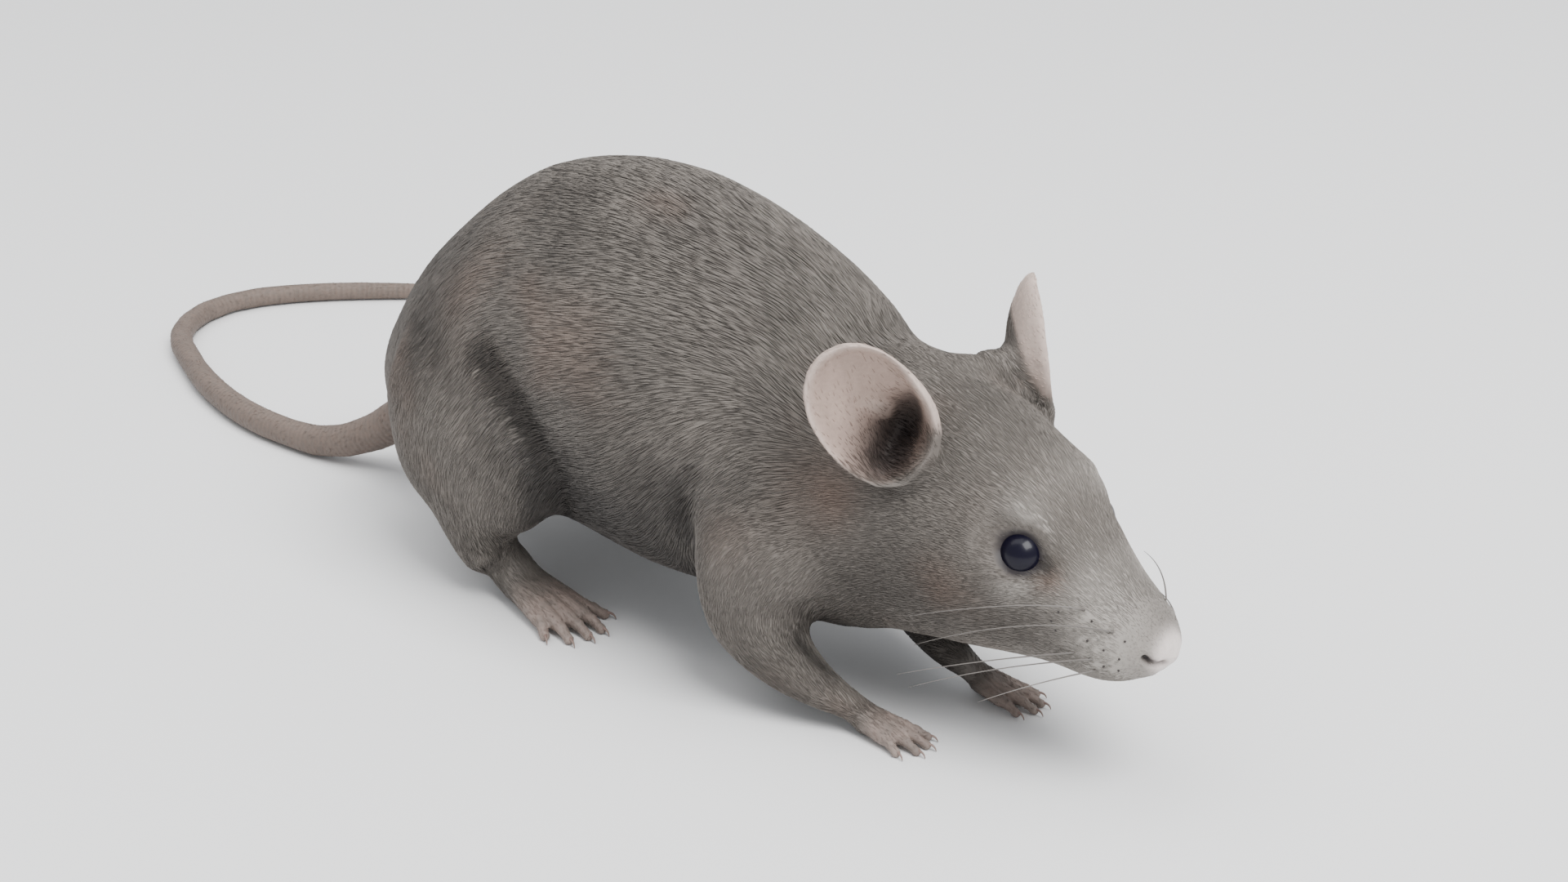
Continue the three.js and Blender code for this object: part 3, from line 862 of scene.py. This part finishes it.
spots = skin.points
marksAndShade = {"ear": skin.spread(earBare * mask["ear"], 12), "tail": mask["tail"]}
marksAndShade["nose"] = np.clip(1.25 * np.exp(-((awayFrom(spots, (18.5, 0, 10.4)) / 1.7) ** 4)), 0, 1)
bareFoot = np.zeros(len(spots))
for foot in footPlaces:
    reach = (spots - beside(foot, 0, 0, 0)) @ aheadOf(foot)
    close = awayFrom(spots, beside(foot, 0, 0, 1)) < footReach
    bareFoot = np.where(close, smooth(reach, *specOf(foot)["bare"]), bareFoot)
marksAndShade["foot"] = np.clip(footed, 0, 1) * bareFoot
marksAndShade["inner"] = np.clip(skin.spread(earInner, 3), 0, 1)
marksAndShade["hollow"] = np.clip(skin.spread(earHollowShade, 3), 0, 1)
leftArmShade = (mask["foreleg"] + mask["forefoot"]) * (spots[:, 1] > midline)
facingDown = 1 - smooth(skin.normals()[:, 2], -0.8, 0.35)
lowParts = mask["trunk"] + 0.5 * mask["hindleg"] + 0.4 * mask["neck"] + 0.3 * mask["foreleg"]
inShade = 0.65 * facingDown * lowParts
lidShade = 0.4 * (1 - smooth(eyeAway, 1.75, 2.6))
# painted shade: darker in the creases, on the far left arm, on faces turned down and round the lids
tone = bothSides(spots, toneSpots) - 0.7 * creased - 0.45 * leftArmShade - inShade - lidShade
marksAndShade["tone"] = np.clip(tone, -1, 1)
marksAndShade["brown"] = np.clip(bothSides(spots, brownSpots) + 0.12 * ripple(spots, 9.0, 5), 0, 1)
# dark lid rims round the eyes, and painted shade in the nostrils and along the mouth line
marksAndShade["rim"] = np.clip(rim + 1.0 * nostril + 0.55 * mouth, 0, 1)
dots = sum(near(spots, mirrored(f, side), 0.2) for f in follicles for side in (1, -1))
_, marksAndShade["ringed"] = onCourse(spots, tailCourse)
print("markings laid")


def putField(mesh, name, values):
    mesh.attributes.new(name, "FLOAT", "POINT").data.foreach_set("value", np.asarray(values, np.float32))


# Lie of the hair: rows of a place and a direction; y is counted outwards on both sides
lieRows = [
    (17, 0.8, 12.6, -1, 0.1, 0.5), (14.5, 3, 11.5, -1, 0.35, 0.25), (13.5, 3.5, 9, -1, 0.45, -0.1),
    (13, 1.5, 14.6, -1, 0.1, 0.6), (8, 1, 20.3, -1, 0.1, 0.6), (2, 1, 23.6, -1, 0.1, 0.3),
    (10.2, 3.2, 17.6, -0.8, 0.3, 0.8), (7, 4.5, 18.5, -1, 0.3, 0.4), (5, 6, 16.5, -1, 0.3, 0.05),
    (9.5, 5, 13.4, -1, 0.4, -0.25), (4, 7.5, 11.5, -1, 0.2, -0.25), (12, 1, 6.8, -1, 0.1, -0.2),
    (3, 2, 5.5, -1, 0, -0.05), (0, 7.5, 17.5, -1, 0.2, -0.2), (-1, 1, 25, -1, 0.1, 0.25),
    (-6, 1, 27.5, -1, 0.1, 0.3), (-5, 8.5, 17, -1, 0.15, -0.3), (-4, 7, 9, -0.9, 0.1, -0.5),
    (-13, 5, 28, -1, 0.15, 0.05), (-27, 4, 33, -1, 0.1, 0), (-25, 11, 26, -1, 0, -0.3),
    (-24, 13, 17, -1, 0, -0.4), (-22, 10, 8.5, -1, 0, -0.3), (-25, 2, 5.2, -1, 0, 0),
    (-42, 4, 28, -0.85, 0.15, -0.6), (-44, 9, 20, -0.6, 0.1, -0.85), (-52, 3, 15, -0.4, 0, -0.9),
    (-54, 2, 9, -0.5, 0, -0.8), (-40, 13, 20, -0.4, 0.1, -0.9), (-31, 12.5, 15, -0.6, 0, -0.8),
    (-36, 13.5, 9, -0.15, 0, -1), (-36, 12.5, 5, 0.15, 0, -1), (-32, 11, 2.5, 0.95, 0, -0.2),
    (-10, 10.5, 17, -0.8, 0.1, -0.7), (-10.5, 11.5, 11, -0.3, 0.05, -1), (-11, 9.5, 6, 0.3, 0, -0.9),
    (-7, 9.3, 4.8, 0.85, 0, -0.5), (-2, 8, 2.5, 0.95, 0, -0.3),
    (-2.4, 9.6, 23, -0.2, 0.5, 0.8), (-2.8, 9.2, 26, -0.1, 0.3, 0.9),
]


def lieOfHair(surface, normal):
    flow = np.zeros_like(surface.points)
    for row in lieRows:
        for side in (1, -1):
            away = ((surface.points - mirrored(row[:3], side)) ** 2).sum(1)
            flow += unit(mirrored(row[3:], side)) / ((away + 2.0) ** 2)[:, None]
    flow = unit(flow)
    for _ in range(2):
        flow = unit(surface.spread(laidOn(flow, normal), 12))
    return laidOn(flow, normal)


# Streaks: unevenness drawn out along the lie of the hair
def drawOut(surface, flow, steps, seed):
    rng = np.random.default_rng(seed)
    values = rng.normal(size=len(surface.points))
    step = unit(surface.points[surface.others] - surface.points[surface.ends])
    weight = np.abs((step * flow[surface.ends]).sum(1)) ** 6 + 1e-4
    total = np.bincount(surface.ends, weight, len(values))
    for _ in range(steps):
        values = np.bincount(surface.ends, weight * values[surface.others], len(values)) / total
    return values / values.std()


softNormal = unit(skin.spread(skin.normals(), 4))
hairFlow = lieOfHair(skin, softNormal)
fineStreak = drawOut(skin, hairFlow, 120, 21)
longStreak = drawOut(skin, hairFlow, 420, 22)
streak = 0.5 * fineStreak + 0.5 * longStreak
calm = smooth(eyeAway, 1.8, 3.4) * (1 - 0.6 * np.clip(mask["head"] + mask["nose"], 0, 1))
calm *= 1 - 0.6 * smooth(skin.points[:, 0], 9.0, 15.0)
marksAndShade["streak"] = np.clip(0.5 + 0.25 * streak / streak.std() * calm, 0, 1)
for name, values in marksAndShade.items():
    putField(skinMesh, name, values)
print("hair lies", len(skin.points))

# Colours that skin and coat share
furColours = {
    "plain": srgb(112, 106, 100),
    "dark": srgb(56, 52, 49),
    "light": srgb(184, 178, 171),
    "brown": srgb(126, 102, 89),
    "foot": srgb(138, 123, 115),
    "tail": srgb(98, 90, 84),
    "ear": srgb(186, 168, 158),
    "inner": srgb(160, 139, 128),
    # painted shade for the ear's hollow
    "hollow": srgb(44, 37, 35),
    "nose": srgb(214, 203, 198),
    # the lids' own dark rim, also used as painted shade in the nostrils and mouth line
    "rim": srgb(34, 28, 30),
}


# the fur's colours: its markings, with the painted light and shade of the tone and hollow fields
def markingsAndShade(shader):
    c = furColours
    field = {name: shader.field(name) for name in marksAndShade}
    patchy = shader.noise(7.0, 3.0).ramp(0.35, 0.7)
    colour = shader.blend(patchy * 0.35, c["plain"], c["dark"])
    reddish = (field["brown"] * 0.75 + shader.noise(11.0, 2.0).ramp(0.5, 0.8) * 0.35).ramp(0.05, 1.0)
    colour = shader.blend(reddish, colour, c["brown"])
    grained = shader.blend(shader.noise(0.5, 3.0) * 0.5, c["tail"], c["brown"])
    blotched = shader.blend(shader.noise(1.2, 3.0).ramp(0.3, 0.8) * 0.6, c["foot"], c["plain"])
    layers = [
        (field["tone"].ramp(0.0, 1.0), c["light"]),
        (field["tone"].ramp(0.0, -1.0), c["dark"]),
        (field["tail"], grained),
        (field["foot"], blotched),
        (field["ear"].ramp(0.1, 0.9), c["ear"]),
        (field["inner"], c["inner"]),
        # painted shade in the ear's hollow
        (field["hollow"].ramp(0.0, 1.05), c["hollow"]),
        (field["nose"], c["nose"]),
    ]
    for share, over in layers:
        colour = shader.blend(share, colour, over)
    return colour, field


def skinFinish():
    shader = Shader("mouse_skin")
    colour, field = markingsAndShade(shader)
    # dark lid rims, with painted shade in the nostrils and mouth line
    colour = shader.blend(field["rim"], colour, furColours["rim"])
    rings = (field["ringed"] * (2 * math.pi / 0.55)).wave() * field["tail"]
    furred = 1 - (field["tail"] + field["foot"] + field["ear"] + field["nose"]).ramp(0.0, 1.0)
    streaks = field["streak"] * furred
    fine = (shader.noise(0.25, 4.0) - 0.5) * 0.3
    colour = shader.tint(colour, 1 + rings * 0.03 + fine + (field["streak"] - 0.6) * 0.35)
    pores = shader.noise(0.3, 4.0) * (1 - furred)
    shader.bump(rings * 0.3 + streaks * 1.5 + pores * 0.5, 0.05)
    wet = field["nose"] * 0.25 + field["rim"] * 0.2
    return shader.set(Base_Color=colour, Roughness=0.68 - wet, Specular_IOR_Level=0.4).material


def coatFinish():
    shader = Shader("mouse_coat")
    colour, field = markingsAndShade(shader)
    shade, reached = shader.field("shade"), shader.field("reached")
    colour = shader.tint(colour, 0.78 + shade * 0.36 + reached * 0.10)
    return shader.set(Base_Color=colour, Roughness=0.62, Specular_IOR_Level=0.35).material


skinLook, coatLook = skinFinish(), coatFinish()


def finishPiece(name, mesh, material, replaced=()):
    # from the mouse's millimetres to the row's metres
    mesh.transform(Matrix.Scale(0.001, 4) @ Matrix.Translation(Vector(shift)))
    mesh.materials.clear()
    mesh.materials.append(material)
    mesh.polygons.foreach_set("use_smooth", [True] * len(mesh.polygons))
    piece = placed(name, mesh)
    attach(piece, "root")
    if replaced:
        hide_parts(*replaced)


# Coat: every tuft is a thin bent spike with three sides
coatSpec = {
    # tufts a square millimetre, length, width, height over the skin
    "trunk": (19.0, 3.1, 0.085, 0.12),
    "neck": (22.0, 2.5, 0.08, 0.11),
    "head": (42.0, 1.3, 0.058, 0.06),
    "nose": (24.0, 0.5, 0.04, 0.04),
    "ear": (30.0, 1.0, 0.05, 0.05),
    "foreleg": (34.0, 1.3, 0.062, 0.08),
    "forefoot": (14.0, 0.4, 0.04, 0.04),
    "hindleg": (26.0, 2.0, 0.075, 0.10),
    "hindfoot": (14.0, 0.45, 0.045, 0.04),
    "tail": (3.5, 0.55, 0.03, 0.07),
}
coatLimit = 19000  # tufts in one piece
faceMiddle = -0.3  # the head's own middle, where the front of the coat divides


def growCoat(surface):
    rng = np.random.default_rng(11)
    surface.mesh.calc_loop_triangles()
    tri = np.empty((len(surface.mesh.loop_triangles), 3), np.int32)
    surface.mesh.loop_triangles.foreach_get("vertices", tri.ravel())
    total = sum(mask.values())
    rate, length, width, lift = (sum(mask[g] * coatSpec[g][i] for g in groups) / total for i in range(4))
    for limb in ("fore", "hind"):
        # the leg's coat fades out over its foot
        furred = mask[limb + "foot"] * (1 - bareFoot)
        rate += furred * (coatSpec[limb + "leg"][0] - coatSpec[limb + "foot"][0])
        length += furred * 0.45 * (coatSpec[limb + "leg"][1] - coatSpec[limb + "foot"][1])
    toNose = smooth(surface.points[:, 0], 9.0, 16.5) * (mask["head"] + mask["nose"])
    length *= 1 - 0.55 * toNose
    width *= 1 - 0.4 * toNose
    lift *= 1 - 0.6 * toNose
    rate *= 1 + 0.6 * toNose
    lids = smooth(eyeAway, 1.7, 1.95)
    bareEar = smooth(marksAndShade["ear"], 0.0, 0.8)
    rate *= 1 - 0.75 * bareEar * (1 - marksAndShade["hollow"])
    width *= 1 - 0.4 * bareEar
    length *= 1 - 0.45 * bareEar
    clear = lids * (1 - smooth(nostril + mouth, 0.2, 0.5))
    clear = clear * (1 - 0.75 * marksAndShade["inner"] * (1 - marksAndShade["hollow"]))
    rate *= clear * (1 - np.clip(dots * 3, 0, 1))
    rate *= 1 - smooth(marksAndShade["nose"], 0.55, 0.95)
    aroundEye = 1 - 0.55 * (1 - smooth(eyeAway, 1.7, 3.8))
    lift *= aroundEye
    length *= aroundEye
    width *= aroundEye
    rate *= 2 - aroundEye
    rate *= 1 - smooth(0.45 - surface.points[:, 2], 0, 0.3)
    a, b, c = (surface.points[tri[:, i]] for i in range(3))
    area = 0.5 * np.linalg.norm(np.cross(b - a, c - a), axis=1)
    count = np.floor(area * rate[tri].mean(1) + rng.random(len(tri))).astype(int)
    picked = np.repeat(np.arange(len(tri)), count)
    s, t = rng.random((2, len(picked)))
    flip = s + t > 1
    s, t = np.where(flip, 1 - s, s), np.where(flip, 1 - t, t)
    share = np.stack([1 - s - t, s, t], 1)

    def pick(values):
        found = values[tri[picked]]
        return (found * (share if values.ndim == 1 else share[:, :, None])).sum(1)

    root, up = pick(surface.points), unit(pick(softNormal))
    way = pick(hairFlow)
    long = pick(length) * rng.uniform(0.7, 1.25, len(root))
    wide = pick(width) * rng.uniform(0.75, 1.25, len(root))
    high = pick(lift)
    lean = 0.03 * ripple(root, 2.6, 3) + 0.05 * ripple(root, 7.0, 4) + rng.normal(0, 0.045, len(root))
    way = laidOn(way, up)
    way = way * np.cos(lean)[:, None] + np.cross(up, way) * np.sin(lean)[:, None]
    lump = placed("skin_lump", surface.mesh)
    bpy.context.view_layer.update()
    ground = BVHTree.FromObject(lump, bpy.context.evaluated_depsgraph_get())
    bpy.data.objects.remove(lump)

    def settle(points):
        places, ups = np.empty_like(points), np.empty_like(points)
        for i, p in enumerate(points.tolist()):
            places[i], ups[i] = ground.find_nearest(p)[:2]
        return places, ups

    clump = (pick(marksAndShade["streak"]) - 0.5) * 4
    middle, middleUp = settle(root + way * (long * 0.5)[:, None])
    on = laidOn(way, middleUp)
    tip, tipUp = settle(middle + on * (long * 0.5)[:, None])
    middle += middleUp * (high * (0.62 + 0.08 * clump + rng.uniform(-0.12, 0.12, len(root))))[:, None]
    tip += tipUp * (high * (0.72 + 0.10 * clump + rng.uniform(-0.3, 0.3, len(root))))[:, None]
    low = root - up * 0.05
    across = unit(np.cross(up, way))
    acrossMiddle = unit(np.cross(middleUp, on))
    half, ridge = (wide / 2)[:, None], (wide * 0.42)[:, None]
    foot = [low + across * half * 0.8, low - across * half * 0.8, low + up * ridge]
    bend = [middle + acrossMiddle * half, middle - acrossMiddle * half, middle + middleUp * ridge]
    corners = np.stack([*foot, *bend, tip], 1)
    shade = np.clip(0.5 + 0.10 * clump + rng.normal(0, 0.2, len(root)), 0, 1)
    fields = {name: pick(values) for name, values in marksAndShade.items()}
    region = np.array(groups)[np.argmax(np.stack([mask[g] for g in groups], 1), 1)][tri[picked, 0]]
    return {"root": root, "corners": corners, "shade": shade, "fields": fields, "region": region}


spikeFaces = np.array([
    (0, 2, 5), (0, 5, 3), (1, 4, 5), (1, 5, 2), (0, 3, 4), (0, 4, 1), (0, 1, 2),
    (3, 5, 6), (4, 6, 5), (3, 6, 4),
])
patchSize = 0.0015  # each tuft's share of the unwrapped square
patchSpots = np.array([(-1, -1), (1, -1), (0, -1), (-1, 0), (1, 0), (0, 0), (0, 1)]) * patchSize
reached = [0, 0, 0, 0.55, 0.55, 0.65, 1]  # how far along its tuft each point lies
coatPieces = {
    # pieces of the coat: groups it covers and the line its unwrap turns about
    "trunk": (("trunk",), [(-56, -1.6, 12), (-27, -1.8, 17), (-8, -1.2, 15.5)]),
    "front": (("neck", "head", "nose"), [(-10, -1, 15.5), (3, 0, 14.5), (18, 0, 10.3)]),
    "forelegs": (("foreleg", "forefoot"), None),
    "hindlegs": (("hindleg", "hindfoot"), None),
    "ears": (("ear",), None),
    "tail": (("tail",), tailCourse),
}
limbLines = {
    ("forelegs", 1): [(-9, 4, 18), (-8.4, 4.6, 7), (-1.2, 1.9, 2.7), (6, 2.9, 0.8)],
    ("forelegs", -1): [(-9, -7, 18), (-9.6, -9.2, 8.2), (-3.8, -8.3, 2.7), (4, -6.5, 0.8)],
    ("hindlegs", 1): [(-42, 6, 24), (-37, 8, 10), (-36.5, 9, 3.5), (-26, 8.5, 1)],
    ("hindlegs", -1): [(-41, -9, 24), (-36.5, -11, 10), (-35.5, -12, 3.5), (-25, -11.5, 1)],
    ("ears", 1): [(0.4, 3, 19), (0.0, 7.5, 23), (1.0, 9.4, 29)],
    ("ears", -1): [(0.4, -3, 19), (0.0, -7.5, 23), (1.0, -9.4, 29)],
}


def unwrapAbout(points, line):
    # angle about the line, and distance along it, each filling 0 to 1
    _, along = onCourse(points, line)
    line = np.array(line, float)
    marksAt = np.concatenate([[0], np.cumsum(np.linalg.norm(np.diff(line, axis=0), axis=1))])
    centre = np.stack([np.interp(along, marksAt, line[:, i]) for i in range(3)], 1)
    way = unit(line[-1] - line[0])
    first = unit(np.cross(way, (0.1, 1, 0.2)))
    second = np.cross(way, first)
    out = points - centre
    angle = np.arctan2(out @ second, out @ first)
    uv = np.stack([angle, along], 1)
    low, high = uv.min(0), uv.max(0)
    return 0.004 + 0.992 * (uv - low) / np.maximum(high - low, 1e-6)


def buildTufts(name, coat, chosen, line):
    corners = coat["corners"][chosen]
    count, each = len(corners), len(reached)
    mesh = bpy.data.meshes.new(name)
    faces = (spikeFaces[None] + (np.arange(count) * each)[:, None, None]).reshape(-1, 3)
    mesh.from_pydata(corners.reshape(-1, 3).astype(np.float32), [], faces)
    putField(mesh, "shade", np.repeat(coat["shade"][chosen], each))
    putField(mesh, "reached", np.tile(reached, count))
    for key, values in coat["fields"].items():
        putField(mesh, key, np.repeat(values[chosen], each))
    at = unwrapAbout(coat["root"][chosen], line)
    layer = mesh.uv_layers.new(name="OFBake")
    uv = at[:, None, :] + patchSpots[spikeFaces.ravel()][None]
    layer.data.foreach_set("uv", uv.astype(np.float32).ravel())
    mesh.update()
    finishPiece(name, mesh, coatLook)


coat = growCoat(skin)
print("tufts", len(coat["root"]))
tuftTotal = 0
for name, (members, line) in coatPieces.items():
    inPiece = np.isin(coat["region"], members)
    middle = faceMiddle if name == "front" else midline
    for side, sideName in ((1, "left"), (-1, "right")):
        sided = inPiece & ((coat["root"][:, 1] > middle) == (side == 1))
        if name == "tail":
            sided = inPiece if side == 1 else np.zeros_like(inPiece)
        chosen = np.flatnonzero(sided)
        if not len(chosen):
            continue
        chosen = chosen[np.argsort(coat["root"][chosen, 0], kind="stable")]
        about = line or limbLines[name, side]
        for i, part in enumerate(np.array_split(chosen, math.ceil(len(chosen) / coatLimit))):
            buildTufts(f"coat_{name}_{sideName}_{i + 1}", coat, part, about)
            tuftTotal += len(part)
print("coat grown", tuftTotal)


skinMesh.calc_loop_triangles()
share = skinSpec["triangles"] / len(skinMesh.loop_triangles)
thinSkin = remade(skinMesh, "DECIMATE", ratio=share, use_collapse_triangulate=True)
thinSkin.name = "skin"
finishPiece("skin", thinSkin, skinLook, fleshNodes)
print("skin laid", len(thinSkin.polygons))

# Eyes
eyeValues = {"Roughness": 0.3, "Specular_IOR_Level": 0.18, "Coat_Weight": 0.12}
eyeLook = Shader("eye").set(Base_Color=srgb(11, 9, 25), **eyeValues).material


def eyeBall(side):
    bm = bmesh.new()
    bmesh.ops.create_uvsphere(bm, u_segments=48, v_segments=32, radius=eyeSpec["radius"])
    bmesh.ops.translate(bm, verts=bm.verts, vec=eyeFrame(side)[0])
    name = "left" if side == 1 else "right"
    finishPiece(f"eyeball_{name}", meshFrom(bm, "eye"), eyeLook, [f"eye_{name}"])


eyeBall(1)
eyeBall(-1)


# Claws: each foot's set, rounded from the solids
def clawFinish():
    shader = Shader("claw")
    colour = shader.blend(shader.noise(0.5, 3.0), srgb(92, 66, 60), srgb(158, 138, 128))
    shader.bump(shader.noise(0.12, 2.0, (4, 1, 1)), 0.02)
    return shader.set(Base_Color=colour, Roughness=0.35).material


clawLook = clawFinish()
for foot in footPlaces:
    bm = bmesh.new()
    for row in toesOf(foot):
        spine = curveThrough(toeCourse(foot, row)["nail"], 8)
        taperedTube(bm, spine, specOf(foot)["toe"] * 0.36, 0.025, 10, 0.75)
    bmesh.ops.recalc_face_normals(bm, faces=bm.faces)
    members = [n for n in sorted(nodes) if n.startswith("claw_" + foot)]
    finishPiece("claws_" + foot, meshFrom(bm, "claws"), clawLook, members)


# Whiskers
whiskerSpec = {"root": 0.065, "tip": 0.015}
whiskerRows = [
    # side, then places from root to tip
    (-1, (13.59, 3.5, 13.21), (10.37, 6.3, 13.38), (4.42, 9.5, 11.68)),
    (-1, (15.45, 3.04, 12.17), (10.73, 5.84, 11.9), (4.77, 9.04, 9.58)),
    (-1, (13.25, 3.97, 10.2), (8.66, 6.77, 8.97), (4.12, 9.97, 7.55)),
    (-1, (14.47, 3.72, 10.1), (9.47, 6.52, 8.6), (4.97, 9.72, 6.83)),
    (-1, (14.8, 3.42, 9.3), (12.5, 6.22, 8.6), (10.41, 9.42, 7.79)),
    (1, (16.22, 1.9, 13), (13.95, 4.5, 13.2), (11.27, 6.5, 13)),
    (1, (17.2, 1.6, 12), (14.68, 4.5, 11.33), (11.83, 6.5, 10.79)),
    (1, (13.25, 3.97, 10.2), (8.66, 6.77, 8.97), (4.12, 9.97, 7.55)),
    (1, (14.47, 3.72, 10.1), (9.47, 6.52, 8.6), (4.97, 9.72, 6.83)),
    (1, (15.45, 3.04, 11.2), (10.73, 5.84, 10.4), (5.4, 9.04, 9.2)),
]
whiskerLook = Shader("whisker").set(Base_Color=srgb(104, 99, 95), Roughness=0.5).material
bm = bmesh.new()
for side, *places in whiskerRows:
    a, b, c = (mirrored(p, side) for p in places)
    taperedTube(bm, curveThrough((a + 0.06 * (a - b), b, c), 14), whiskerSpec["root"], whiskerSpec["tip"], 6)
bmesh.ops.recalc_face_normals(bm, faces=bm.faces)
finishPiece("whiskers", meshFrom(bm, "whiskers"), whiskerLook)

# Roots of the shorter whiskers, which stay dark dots on the muzzle
bm = bmesh.new()
for side in (1, -1):
    for place in follicles:
        nearest = np.argmin(awayFrom(skin.points, mirrored(place, side)))
        at = Matrix.Translation(Vector(skin.points[nearest] + 0.03 * softNormal[nearest]))
        bmesh.ops.create_icosphere(bm, subdivisions=2, radius=0.075, matrix=at)
rootLook = Shader("whisker_root").set(Base_Color=srgb(40, 34, 33), Roughness=0.6).material
finishPiece("whisker_roots", meshFrom(bm, "whisker_roots"), rootLook)
print("eyes, claws and whiskers set")

# Floor, light and air
floorLook = Shader("pale_floor").set(Base_Color=srgb(236, 236, 236), Roughness=0.6).material


def layFloor():
    bm = bmesh.new()
    bmesh.ops.create_grid(bm, x_segments=1, y_segments=1, size=6)
    mesh = meshFrom(bm, "floor")
    mesh.materials.append(floorLook)
    placed("floor", mesh)


def hangLight(name, at, size, power):
    data = bpy.data.lights.new(name, "AREA")
    data.size, data.energy = size, power
    lamp = placed(name, data)
    lamp.location = at
    lamp.rotation_mode = "QUATERNION"
    lamp.rotation_quaternion = (-Vector(at)).to_track_quat("-Z", "Y")


layFloor()
hangLight("key", (0.42, -0.05, 0.62), 0.45, 9.0)
hangLight("fill", (-0.3, -0.1, 0.9), 0.9, 6.0)
air = bpy.data.worlds.new("air")
bpy.context.scene.world = air
air.use_nodes = True
air.node_tree.nodes["Background"].inputs[0].default_value = (0.9, 0.92, 0.95, 1)
air.node_tree.nodes["Background"].inputs[1].default_value = 0.75
print("stage set")
